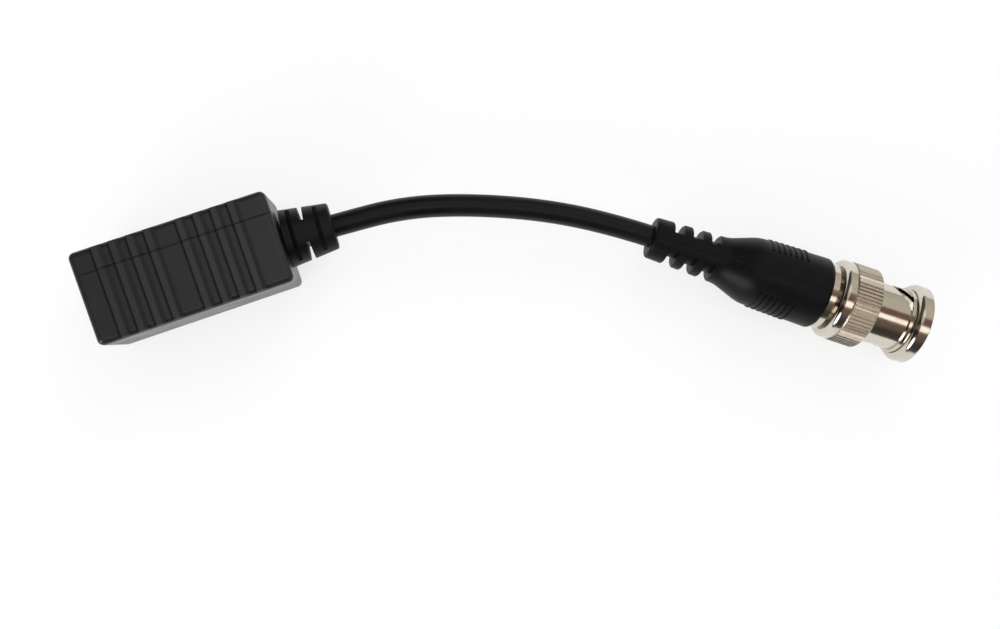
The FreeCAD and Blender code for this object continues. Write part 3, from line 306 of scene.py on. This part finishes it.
class Finish:
    """A material with one principled shader, and helpers that add its texture nodes."""

    def __init__(self, name):
        self.material = bpy.data.materials.new(name)
        self.material.use_nodes = True
        self.tree = self.material.node_tree
        self.tree.nodes.clear()
        self.output = self.add("ShaderNodeOutputMaterial")
        self.surface = self.add("ShaderNodeBsdfPrincipled")
        self.join(self.surface.outputs["BSDF"], self.output.inputs["Surface"])
        self.place = self.add("ShaderNodeTexCoord").outputs["Object"]

    def add(self, kind, **values):
        node = self.tree.nodes.new(kind)
        for name, value in values.items():
            setattr(node, name, value)
        return node

    def join(self, source, target):
        self.tree.links.new(source, target)

    def set(self, **values):
        for name, value in values.items():
            self.surface.inputs[name.replace("_", " ")].default_value = value

    def noise(self, size, detail=2.0, roughness=0.5, place=None):
        """Cloudy pattern with features of about that size, in metres."""
        node = self.add("ShaderNodeTexNoise")
        node.inputs["Scale"].default_value = 1 / size
        node.inputs["Detail"].default_value = detail
        node.inputs["Roughness"].default_value = roughness
        self.join(place or self.place, node.inputs["Vector"])
        return node.outputs["Fac"]

    def spread(self, span, value, low, high):
        """The value spread from a span, or from 0..1 where that is None, to low..high."""
        node = self.add("ShaderNodeMapRange")
        node.inputs["To Min"].default_value = low
        node.inputs["To Max"].default_value = high
        self.join(value, node.inputs["Value"])
        if span:
            node.inputs["From Min"].default_value = span[0]
            node.inputs["From Max"].default_value = span[1]
        return node.outputs["Result"]

    def compute(self, operation, *values):
        """Result of a calculation on sockets and plain numbers."""
        node = self.add("ShaderNodeMath", operation=operation)
        for socket, value in zip(node.inputs, values):
            if isinstance(value, bpy.types.NodeSocket):
                self.join(value, socket)
            else:
                socket.default_value = value
        return node.outputs[0]

    def steps(self, value, stops):
        """Level that runs straight from stop to stop, each a place and a level."""
        node = self.add("ShaderNodeValToRGB")
        marks = node.color_ramp.elements
        marks.remove(marks[0])
        marks[0].position = stops[0][0]
        marks[0].color = (stops[0][1],) * 3 + (1,)
        for place, level in stops[1:]:
            marks.new(place).color = (level,) * 3 + (1,)
        self.join(value, node.inputs["Fac"])
        return node.outputs["Color"]

    def blend(self, amount, first, second):
        """Colour that goes from first to second with the amount."""
        node = self.add("ShaderNodeMix", data_type="RGBA")
        for socket, value in ((node.inputs[6], first), (node.inputs[7], second)):
            if isinstance(value, bpy.types.NodeSocket):
                self.join(value, socket)
            else:
                socket.default_value = (*value, 1.0)
        self.join(amount, node.inputs[0])
        return node.outputs[2]

    def bump(self, height, depth, under=None):
        """Relief of that depth, in metres, on top of another."""
        node = self.add("ShaderNodeBump")
        node.inputs["Strength"].default_value = 1.0
        node.inputs["Distance"].default_value = depth
        self.join(height, node.inputs["Height"])
        if under:
            self.join(under, node.inputs["Normal"])
        return node.outputs["Normal"]

    def along_plug(self):
        """Coordinates along the plug's axis, which is their X."""
        node = self.add("ShaderNodeMapping", vector_type="TEXTURE")
        node.inputs["Location"].default_value = PLUG_PLACE
        node.inputs["Rotation"].default_value = (0, 0, PLUG_YAW)
        self.join(self.place, node.inputs["Vector"])
        return node.outputs["Vector"]

    def line_at(self, place, axis, station, width):
        """1 where the coordinate on an axis has a value, fading to 0 on both sides."""
        split = self.add("ShaderNodeSeparateXYZ")
        self.join(place, split.inputs[0])
        offset = self.compute("SUBTRACT", split.outputs[axis], station)
        fade = self.add("ShaderNodeMapRange", interpolation_type="SMOOTHSTEP")
        fade.inputs["From Min"].default_value = width * 0.3
        fade.inputs["From Max"].default_value = width
        fade.inputs["To Min"].default_value = 1.0
        fade.inputs["To Max"].default_value = 0.0
        self.join(self.compute("ABSOLUTE", offset), fade.inputs["Value"])
        return fade.outputs["Result"]

    def seam(self, line, depth, darkness):
        """Sinks a line into the surface and darkens it."""
        surface = self.surface.inputs
        base = surface["Base Color"].links[0].from_socket
        normal = surface["Normal"].links[0].from_socket
        shade = self.spread(None, line, 0.0, darkness)
        self.join(self.blend(shade, base, (0.0, 0.0, 0.0)), surface["Base Color"])
        self.join(self.bump(self.spread(None, line, 1.0, 0.0), depth, under=normal),
                  surface["Normal"])

    def ribs(self, box, colour, shine):
        """Painted highlight on the crests, painted shade beside them and on the edge fillets,
        where the gloss is weaker too, on the two sides that have ribs.
        """
        split = self.add("ShaderNodeSeparateXYZ")
        self.join(self.place, split.inputs[0])
        first, second = (box[0][0] + start for start in RIB_STARTS)
        between = (first + second + RIB_PITCH * RIB_COUNT) / 2
        later = self.compute("GREATER_THAN", split.outputs["X"], between)
        start = self.compute("MULTIPLY_ADD", later, second - first, first)
        offset = self.compute("SUBTRACT", split.outputs["X"], start)
        turn = self.compute("MULTIPLY_ADD", offset, 1 / RIB_PITCH, RIB_LEAD)
        within = self.compute("MULTIPLY", self.compute("GREATER_THAN", turn, 0.0),
                              self.compute("LESS_THAN", turn, RIB_COUNT - RIB_TAIL))
        middle = (box[0][2] + box[1][2]) / 2
        lift = self.compute("ABSOLUTE", self.compute("SUBTRACT", split.outputs["Z"], middle))
        side = box[1][2] - middle - RIB_HEIGHT
        flat = self.spread([side - depth for depth in MARKS_IN], lift, 0.0, 1.0)
        here = self.compute("MULTIPLY", within, flat)
        share = self.compute("FRACT", turn)
        # Painted highlight on each rib's crest
        crest_highlight = self.compute("MULTIPLY", here, self.steps(share, CREST_HIGHLIGHT_MARKS))
        # Painted shade on the jack side of each rib, and a fainter line of it on the rib's
        # cable side
        foot_shade = self.compute("MULTIPLY", here, self.steps(share, FOOT_SHADE_MARKS))
        # Painted shade on the edge fillets of the two ribbed sides
        rising = self.spread([side - depth for depth in EDGE_IN], lift, 0.0, 1.0)
        falling = self.spread([side - depth for depth in EDGE_OUT], lift, 1.0, 0.0)
        fillet_shade = self.compute("MULTIPLY", rising, falling)
        # Random patches in the strength of the painted highlight
        highlight_patches = self.noise(0.004, detail=3)
        patchy_highlight = self.compute("MULTIPLY", crest_highlight, self.spread((0.3, 0.7), highlight_patches, 0.75, 1.0))
        surface = self.surface.inputs
        base = surface["Base Color"].links[0].from_socket
        highlighted = self.blend(patchy_highlight, base, scaled_colour(colour, CREST_HIGHLIGHT))
        # Painted shade at the rib feet and on the edge fillets: darker colour and weaker gloss
        dull = self.compute("MAXIMUM", foot_shade, self.compute("MULTIPLY", fillet_shade, EDGE_SHADE_LEVEL))
        darker = scaled_colour(colour, FOOT_SHADE)
        self.join(self.blend(dull, highlighted, darker), surface["Base Color"])
        gloss = self.spread(None, dull, shine, shine * SHADE_SHINE)
        self.join(gloss, surface["Specular IOR Level"])

    def stretched(self, place, scale):
        """Coordinates times a factor along each axis."""
        node = self.add("ShaderNodeMapping")
        node.inputs["Scale"].default_value = scale
        self.join(place, node.inputs["Vector"])
        return node.outputs["Vector"]


def scaled_colour(colour, factor):
    return tuple(channel * factor for channel in colour)


def finish_nodes(material, *names):
    """Gives CAD nodes their material."""
    for name in names:
        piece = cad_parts[name]
        piece.data.materials.clear()
        piece.data.materials.append(material)


def moulded_finish(name, colour, roughness, grain_size, grain_depth, shine=0.3):
    """Moulded plastic: fine grain, cloudy colour and gloss, and a few fine scuffs."""
    finish = Finish(name)
    finish.set(IOR=1.5, Specular_IOR_Level=shine)
    cloud = finish.noise(0.006, detail=4)
    speck = finish.noise(0.0006, detail=3, roughness=0.7)
    base = finish.blend(finish.spread((0.3, 0.7), cloud, 0, 1),
                        scaled_colour(colour, 0.86), scaled_colour(colour, 1.12))
    dusty = finish.blend(finish.spread((0.62, 0.8), speck, 0, 0.35),
                         base, scaled_colour(colour, 1.9))
    finish.join(dusty, finish.surface.inputs["Base Color"])
    finish.join(finish.spread((0.25, 0.75), cloud, roughness - 0.05, roughness + 0.07),
                finish.surface.inputs["Roughness"])
    grain = finish.noise(grain_size, detail=3, roughness=0.6)
    waves = finish.noise(0.0025, detail=1)
    relief = finish.bump(waves, grain_depth * 1.5)
    finish.join(finish.bump(grain, grain_depth, under=relief), finish.surface.inputs["Normal"])
    return finish


def moulded_plastic(*values, **named):
    return moulded_finish(*values, **named).material


def turned_nickel(name, colour, roughness, knurl_haze):
    """Bright plating on turned metal: turning lines, cloudy gloss and handling marks."""
    finish = Finish(name)
    finish.set(Metallic=1.0)
    local = finish.along_plug()
    lines = finish.noise(1.0, detail=4, place=finish.stretched(local, (5500, 60, 60)))
    haze = finish.noise(0.0035, detail=4, roughness=0.6)
    spots = finish.noise(0.00045, detail=3, roughness=0.7)
    tint = finish.blend(finish.spread((0.35, 0.7), haze, 0, 1),
                        colour, (colour[0] * 0.93, colour[1] * 0.9, colour[2] * 0.87))
    marked = finish.blend(finish.spread((0.64, 0.78), spots, 0, 0.4),
                          tint, scaled_colour(colour, 0.6))
    finish.join(marked, finish.surface.inputs["Base Color"])
    split = finish.add("ShaderNodeSeparateXYZ")
    finish.join(local, split.inputs[0])
    behind_front = finish.compute("LESS_THAN", split.outputs["X"], 0.0)
    before_neck = finish.compute("GREATER_THAN", split.outputs["X"], -KNURL_LENGTH)
    knurl = finish.compute("MULTIPLY", before_neck, behind_front)
    gloss = finish.spread((0.3, 0.7), haze, roughness * 0.75, roughness * 1.4)
    finish.join(finish.compute("MULTIPLY_ADD", knurl, knurl_haze, gloss),
                finish.surface.inputs["Roughness"])
    turning = finish.bump(lines, 0.0000016)
    finish.join(finish.bump(haze, 0.00002, under=turning), finish.surface.inputs["Normal"])
    return finish.material


def plain_metal(name, colour, roughness, grain=0.0003):
    """Drawn or plated small metal: streaks of gloss and colour."""
    finish = Finish(name)
    finish.set(Metallic=1.0)
    streak = finish.noise(grain, detail=4)
    finish.join(finish.blend(streak, scaled_colour(colour, 0.85), scaled_colour(colour, 1.08)),
                finish.surface.inputs["Base Color"])
    finish.join(finish.spread(None, streak, roughness * 0.7, roughness * 1.3),
                finish.surface.inputs["Roughness"])
    finish.join(finish.bump(streak, 0.000004), finish.surface.inputs["Normal"])
    return finish.material


# Boot's skin

def outline_radius(x):
    """Radius of the boot without notches and grips, at a place on the plug's axis."""
    slopes = [(b[1] - a[1]) / (b[0] - a[0]) for a, b in zip(BOOT_KNEES, BOOT_KNEES[1:])]
    radius = BOOT_KNEES[0][1] + slopes[0] * (x - BOOT_KNEES[0][0])
    for knee, before, after in zip(BOOT_KNEES[1:], slopes, slopes[1:]):
        past = x - knee[0]
        if past > knee[2]:
            radius += (after - before) * past
        elif past > -knee[2]:
            radius += (after - before) * (past + knee[2]) ** 2 / (4 * knee[2])
    for inside, rounding in ((x - BOOT_KNEES[0][0], BOOT_TIP_ROUND),
                             (BOOT_KNEES[-1][0] - x, BOOT_NUT_ROUND)):
        if inside < rounding:
            radius -= rounding - math.sqrt(rounding ** 2 - (rounding - inside) ** 2)
    return radius


def skin_radius(boots, x, angle):
    """Radius of the boot's skin, with the angle in degrees from the notches' middle."""
    radius = outline_radius(x)
    aside = min(angle % 180, 180 - angle % 180)
    if aside < NOTCH_HALF_ANGLE:
        for start, core in zip(NOTCH_STARTS, NOTCH_CORES):
            outside = max(start - x, x - start - boots.notch_width)
            if outside < 0:
                return core
            radius -= max(boots.notch_bevel - outside, 0)
    if aside < GRIP_HALF_ANGLE:
        for k in range(GRIP_COUNT):
            off = abs(x - GRIP_FIRST - GRIP_PITCH * k)
            rise = (GRIP_FOOT - off) / (GRIP_FOOT - GRIP_CREST)
            radius += boots.grip_height * min(max(rise, 0), 1)
    return radius


def spaced(values, gap):
    """The values in order, without those nearer to the last one than the gap."""
    kept = []
    for value in sorted(values):
        if not kept or value - kept[-1] > gap:
            kept.append(value)
    return kept


def skin_stations(boots):
    """Places on the plug's axis where the boot's skin has a ring of points."""
    first, last = BOOT_KNEES[0][0], BOOT_KNEES[-1][0]
    stations = [first + (last - first) * k / BOOT_RINGS for k in range(BOOT_RINGS + 1)]
    for k in range(1, ROUND_RINGS + 1):
        lean = 1 - math.cos(math.pi / 2 * k / ROUND_RINGS)
        stations += [first + BOOT_TIP_ROUND * lean, last - BOOT_NUT_ROUND * lean]
    for start in NOTCH_STARTS:
        end = start + boots.notch_width
        for wall in (start, end):
            stations += [wall - WALL_GAP, wall + WALL_GAP]
        stations += [start - boots.notch_bevel, end + boots.notch_bevel]
    for k in range(GRIP_COUNT):
        middle = GRIP_FIRST + GRIP_PITCH * k
        stations += [middle - GRIP_FOOT, middle - GRIP_CREST]
        stations += [middle + GRIP_CREST, middle + GRIP_FOOT]
    stations = spaced(stations, WALL_GAP * 0.8)
    stations[-1] = last
    return stations


def skin_angles():
    """Angles of the points in a ring, in degrees from the notches' middle."""
    angles = [ANGLE_STEP * k for k in range(round(360 / ANGLE_STEP))]
    for centre in (0, 180):
        for half in (NOTCH_HALF_ANGLE, GRIP_HALF_ANGLE):
            for side in (half, -half):
                angles += [(centre + side + nudge) % 360
                           for nudge in (-WALL_GAP_ANGLE, WALL_GAP_ANGLE)]
    return spaced(angles, WALL_GAP_ANGLE * 0.75)


def boot_mesh(boots):
    """Closed skin of the boot, with its notches and grip ridges."""
    stations = skin_stations(boots)
    angles = skin_angles()
    points = []
    for x in stations:
        for angle in angles:
            radius = skin_radius(boots, x, angle)
            turn = math.radians(angle)
            points.append((x, radius * math.cos(turn), radius * math.sin(turn)))
    count = len(angles)
    faces = [tuple(range(count))[::-1], tuple(range(len(points) - count, len(points)))]
    for i in range(len(stations) - 1):
        for j in range(count):
            after = (j + 1) % count
            here, ahead = i * count, (i + 1) * count
            faces.append((here + j, here + after, ahead + after, ahead + j))
    mesh = bpy.data.meshes.new("boot_skin")
    mesh.from_pydata(points, [], faces)
    mesh.transform(Matrix.Translation(PLUG_PLACE) @ Matrix.Rotation(PLUG_YAW, 4, "Z"))
    mesh.polygons.foreach_set("use_smooth", [True] * len(mesh.polygons))
    mesh.set_sharp_from_angle(angle=SHARP_ANGLE)
    return mesh


# Operators, one for each piece or group of like pieces

class BALUN_OT_stage(bpy.types.Operator):
    """Sets up the camera, the paper floor, the soft lamps and the surroundings"""
    bl_idname = "balun.stage"
    bl_label = "Stage"

    def execute(self, context):
        studio = context.scene.balun_studio
        self.add_camera(context, studio)
        self.add_floor(studio)
        self.add_lamps(studio)
        self.add_surroundings(context, studio)
        context.scene.view_settings.view_transform = "Standard"
        return {"FINISHED"}

    def add_camera(self, context, studio):
        lens = bpy.data.cameras.new("camera")
        lens.sensor_fit = "HORIZONTAL"
        lens.sensor_width = 36
        lens.lens = studio.focal_length
        lens.clip_start = 0.001
        camera = bpy.data.objects.new("camera", lens)
        camera.location = studio.camera_place
        camera.rotation_euler = studio.camera_turn
        context.collection.objects.link(camera)
        context.scene.camera = camera

    def add_floor(self, studio):
        bpy.ops.mesh.primitive_plane_add(size=PAPER_SIZE, location=(0, 0, 0))
        floor = bpy.context.object
        floor.name = "paper_floor"
        paper = Finish("paper")
        paper.set(Roughness=0.9, Specular_IOR_Level=0.1)
        fibre = paper.noise(0.002, detail=5)
        darker = scaled_colour(studio.floor_colour, 0.985)
        paper.join(paper.blend(fibre, darker, studio.floor_colour),
                   paper.surface.inputs["Base Color"])
        glow = paper.add("ShaderNodeEmission")
        glow.inputs["Color"].default_value = WHITE
        mix = paper.add("ShaderNodeMixShader")
        rays = paper.add("ShaderNodeLightPath")
        seen = rays.outputs["Is Camera Ray"]
        for kind in ("Is Glossy Ray", "Is Transmission Ray"):
            seen = paper.compute("MAXIMUM", seen, rays.outputs[kind])
        paper.join(paper.compute("MULTIPLY", seen, PAPER_GLOW), mix.inputs["Fac"])
        paper.join(paper.surface.outputs["BSDF"], mix.inputs[1])
        paper.join(glow.outputs["Emission"], mix.inputs[2])
        paper.join(mix.outputs["Shader"], paper.output.inputs["Surface"])
        floor.data.materials.append(paper.material)

    def add_lamps(self, studio):
        for name, place, size, share in LAMPS:
            lamp = bpy.data.lights.new(name, "AREA")
            lamp.size = size
            lamp.energy = studio.lamp_power * share
            stand = bpy.data.objects.new(name, lamp)
            stand.location = place
            stand.rotation_euler = (-Vector(place)).to_track_quat("-Z", "Y").to_euler()
            stand.visible_glossy = False
            bpy.context.collection.objects.link(stand)

    def add_surroundings(self, context, studio):
        world = bpy.data.worlds.new("studio")
        context.scene.world = world
        world.use_nodes = True
        nodes, links = world.node_tree.nodes, world.node_tree.links
        nodes.clear()
        output = nodes.new("ShaderNodeOutputWorld")
        even = nodes.new("ShaderNodeBackground")
        even.inputs["Color"].default_value = WHITE
        even.inputs["Strength"].default_value = studio.fill_level
        white = nodes.new("ShaderNodeBackground")
        white.inputs["Color"].default_value = WHITE
        room = nodes.new("ShaderNodeBackground")
        rays = nodes.new("ShaderNodeLightPath")
        links.new(self.room_colour(nodes, links), room.inputs["Color"])
        seen = nodes.new("ShaderNodeMixShader")
        links.new(rays.outputs["Is Glossy Ray"], seen.inputs["Fac"])
        links.new(even.outputs[0], seen.inputs[1])
        links.new(room.outputs[0], seen.inputs[2])
        final = nodes.new("ShaderNodeMixShader")
        links.new(rays.outputs["Is Camera Ray"], final.inputs["Fac"])
        links.new(seen.outputs[0], final.inputs[1])
        links.new(white.outputs[0], final.inputs[2])
        links.new(final.outputs[0], output.inputs["Surface"])

    def room_colour(self, nodes, links):
        """What gloss mirrors: a pale wall, dark gaps and a lamp's strip beside the plug."""
        turn = math.cos(PLUG_YAW), math.sin(PLUG_YAW)
        direction = nodes.new("ShaderNodeTexCoord").outputs["Generated"]
        aside = self.towards(nodes, links, direction, (-turn[1], turn[0], 0))
        along = self.towards(nodes, links, direction, (turn[0], turn[1], 0))
        up = self.towards(nodes, links, direction, (0, 0, 1))
        angle = nodes.new("ShaderNodeMath")
        angle.operation = "ARCTAN2"
        links.new(aside, angle.inputs[0])
        links.new(up, angle.inputs[1])
        share = nodes.new("ShaderNodeMapRange")
        share.inputs["From Min"].default_value = -math.pi / 2
        share.inputs["From Max"].default_value = math.pi / 2
        links.new(angle.outputs[0], share.inputs["Value"])
        ramp = nodes.new("ShaderNodeValToRGB")
        marks = ramp.color_ramp.elements
        marks.remove(marks[0])
        marks[0].position = ROOM_BANDS[0][0]
        marks[0].color = (*ROOM_BANDS[0][1], 1)
        for position, colour in ROOM_BANDS[1:]:
            marks.new(position).color = (*colour, 1)
        links.new(share.outputs["Result"], ramp.inputs["Fac"])
        lit = ramp.outputs["Color"]
        for values in ROOM_ENDS:
            lit = self.dimmed(nodes, links, lit, self.fade(nodes, links, along, *values))
        for centre, wide, narrow, level in SOFT_PATCHES:
            facing = self.towards(nodes, links, direction, Vector(centre).normalized())
            patch = self.fade(nodes, links, facing, math.cos(math.radians(wide)),
                              math.cos(math.radians(narrow)), 0.0, level)
            total = nodes.new("ShaderNodeVectorMath")
            total.operation = "ADD"
            links.new(lit, total.inputs[0])
            links.new(patch, total.inputs[1])
            lit = total.outputs["Vector"]
        return lit

    def fade(self, nodes, links, value, low, high, first, last):
        """Level that goes smoothly from first to last as the value goes from low to high."""
        node = nodes.new("ShaderNodeMapRange")
        node.interpolation_type = "SMOOTHSTEP"
        node.inputs["From Min"].default_value = low
        node.inputs["From Max"].default_value = high
        node.inputs["To Min"].default_value = first
        node.inputs["To Max"].default_value = last
        links.new(value, node.inputs["Value"])
        return node.outputs["Result"]

    def dimmed(self, nodes, links, colour, level):
        """The colour times a level."""
        product = nodes.new("ShaderNodeVectorMath")
        product.operation = "SCALE"
        links.new(colour, product.inputs[0])
        links.new(level, product.inputs["Scale"])
        return product.outputs["Vector"]

    def towards(self, nodes, links, direction, axis):
        """How far a direction points along an axis."""
        product = nodes.new("ShaderNodeVectorMath")
        product.operation = "DOT_PRODUCT"
        product.inputs[1].default_value = axis
        links.new(direction, product.inputs[0])
        return product.outputs["Value"]


class BALUN_OT_cable(bpy.types.Operator):
    """Lays the cable from the housing's relief to the plug's boot"""
    bl_idname = "balun.cable"
    bl_label = "Cable"

    def execute(self, context):
        cable = context.scene.balun_cable
        curve = bpy.data.curves.new("cable", "CURVE")
        curve.dimensions = "3D"
        curve.bevel_depth = cable.diameter / 2
        curve.bevel_resolution = 10
        curve.resolution_u = 24
        curve.use_fill_caps = True
        line = curve.splines.new("NURBS")
        line.points.add(len(CABLE_ROUTE) - 1)
        for point, place in zip(line.points, CABLE_ROUTE):
            point.co = (*place, 1)
        line.order_u = 3
        line.use_endpoint_u = True
        piece = bpy.data.objects.new("cable", curve)
        context.collection.objects.link(piece)
        jacket = moulded_plastic("cable jacket", cable.colour, cable.roughness,
                                 grain_size=0.0003, grain_depth=0.000006, shine=cable.shine)
        curve.materials.append(jacket)
        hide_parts("cable_jacket")
        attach(piece, "root")
        return {"FINISHED"}


class BALUN_OT_shells(bpy.types.Operator):
    """Finishes the housing's two shells"""
    bl_idname = "balun.shells"
    bl_label = "Housing shells"

    def execute(self, context):
        shells = context.scene.balun_shells
        plastic = moulded_finish("housing plastic", shells.colour, shells.roughness,
                                 shells.grain_size, shells.grain_depth, shells.shine)
        # Painted highlight and painted shade on the ribbed sides
        plastic.ribs(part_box("housing_base"), shells.colour, shells.shine)
        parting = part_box("housing_base")[1][1]
        line = plastic.line_at(plastic.place, "Y", parting, shells.seam_width)
        plastic.seam(line, depth=0.00012, darkness=0.95)
        finish_nodes(plastic.material, "housing_base", "housing_cover")
        return {"FINISHED"}


class BALUN_OT_boots(bpy.types.Operator):
    """Makes the boot's skin, and finishes it and the housing's bend relief"""
    bl_idname = "balun.boots"
    bl_label = "Boot and bend relief"

    def execute(self, context):
        boots = context.scene.balun_boots
        relief = moulded_plastic("relief plastic", boots.relief_colour, boots.roughness,
                                 *BOOT_GRAIN, boots.shine)
        finish_nodes(relief, "housing_strain_relief")
        boot = moulded_finish("boot plastic", boots.colour, boots.roughness,
                              *BOOT_GRAIN, boots.shine)
        line = boot.line_at(boot.along_plug(), "Y", 0.0, boots.seam_width)
        boot.seam(line, depth=0.00003, darkness=0.3)
        finish_nodes(boot.material, "plug_boot")
        piece = bpy.data.objects.new("boot_skin", boot_mesh(boots))
        context.collection.objects.link(piece)
        piece.data.materials.append(boot.material)
        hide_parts("plug_boot")
        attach(piece, "root")
        return {"FINISHED"}


class BALUN_OT_metalwork(bpy.types.Operator):
    """Finishes the plug's nut, body and contacts"""
    bl_idname = "balun.metalwork"
    bl_label = "Plug metalwork"

    def execute(self, context):
        metal = context.scene.balun_metal
        inside = context.scene.balun_inside
        nickel = turned_nickel("turned nickel", metal.colour, metal.roughness, metal.knurl_haze)
        finish_nodes(nickel, "coupling_nut", "plug_body", "outer_contact")
        tin = plain_metal("tinned metal", scaled_colour(metal.colour, 0.9), 0.32)
        finish_nodes(tin, "wave_washer", "thrust_washer", "crimp_ferrule", "solder_posts")
        gold = plain_metal("gold plating", inside.gold_colour, 0.2)
        finish_nodes(gold, "centre_pin", "jack_contacts")
        insulation = moulded_plastic("white insulation", (0.78, 0.77, 0.74), 0.4,
                                     grain_size=0.0004, grain_depth=0.000006)
        finish_nodes(insulation, "contact_insulator", "plug_dielectric", "housing_dielectric")
        rubber = moulded_plastic("gasket rubber", (0.02, 0.02, 0.02), 0.6,
                                 grain_size=0.0002, grain_depth=0.00001)
        finish_nodes(rubber, "gasket_ring")
        copper = plain_metal("copper wire", (0.80, 0.42, 0.25), 0.3)
        finish_nodes(copper, "plug_conductor", "housing_conductor", "plug_braid",
                     "housing_braid", "line_winding", "coax_winding")
        return {"FINISHED"}


class BALUN_OT_spring(bpy.types.Operator):
    """Copies the wave washer at its rest shape, in place of its CAD node; the real washer
    flattens as the nut is drawn forward
    """
    bl_idname = "balun.spring"
    bl_label = "Wave washer"

    def execute(self, context):
        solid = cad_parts["wave_washer"]
        piece = bpy.data.objects.new("wave_washer_spring", solid.data.copy())
        context.collection.objects.link(piece)
        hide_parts("wave_washer")
        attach(piece, "root")
        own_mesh(piece)
        return {"FINISHED"}


class BALUN_OT_jack(bpy.types.Operator):
    """Finishes the jack, the board and the parts on it"""
    bl_idname = "balun.jack"
    bl_label = "Jack and board"

    def execute(self, context):
        inside = context.scene.balun_inside
        jack = moulded_plastic("jack plastic", (0.013, 0.013, 0.0135), 0.38,
                               grain_size=0.0005, grain_depth=0.000006)
        finish_nodes(jack, "jack_body")
        board = moulded_plastic("solder mask", inside.board_colour, 0.3,
                                grain_size=0.001, grain_depth=0.000004)
        finish_nodes(board, "circuit_board")
        ferrite = moulded_plastic("ferrite", (0.04, 0.04, 0.042), 0.6,
                                  grain_size=0.0002, grain_depth=0.00001)
        finish_nodes(ferrite, "balun_core")
        chip = moulded_plastic("chip body", (0.03, 0.027, 0.024), 0.5,
                               grain_size=0.0002, grain_depth=0.000006)
        finish_nodes(chip, "surge_suppressor", "filter_capacitors", "line_resistors")
        return {"FINISHED"}


class BALUN_PT_panel(bpy.types.Panel):
    """Lists the steps and their settings"""
    bl_label = "Video balun"
    bl_idname = "BALUN_PT_panel"
    bl_space_type = "VIEW_3D"
    bl_region_type = "UI"
    bl_category = "Video balun"

    def draw(self, context):
        for operator, settings in STEPS:
            box = self.layout.box()
            box.operator(operator.bl_idname)
            group = getattr(context.scene, settings)
            for name in SETTINGS[settings].__annotations__:
                box.prop(group, name)


STEPS = [
    (BALUN_OT_stage, "balun_studio"),
    (BALUN_OT_cable, "balun_cable"),
    (BALUN_OT_shells, "balun_shells"),
    (BALUN_OT_boots, "balun_boots"),
    (BALUN_OT_metalwork, "balun_metal"),
    (BALUN_OT_spring, "balun_spring"),
    (BALUN_OT_jack, "balun_inside"),
]


def register():
    for name, group in SETTINGS.items():
        bpy.utils.register_class(group)
        setattr(bpy.types.Scene, name, PointerProperty(type=group))
    for operator, _ in STEPS:
        bpy.utils.register_class(operator)
    bpy.utils.register_class(BALUN_PT_panel)


def unregister():
    bpy.utils.unregister_class(BALUN_PT_panel)
    for operator, _ in reversed(STEPS):
        bpy.utils.unregister_class(operator)
    for name, group in SETTINGS.items():
        delattr(bpy.types.Scene, name)
        bpy.utils.unregister_class(group)


def main():
    register()
    bpy.ops.balun.stage()
    bpy.ops.balun.cable()
    bpy.ops.balun.shells()
    bpy.ops.balun.boots()
    bpy.ops.balun.metalwork()
    bpy.ops.balun.spring()
    bpy.ops.balun.jack()


if __name__ == "__main__":
    main()
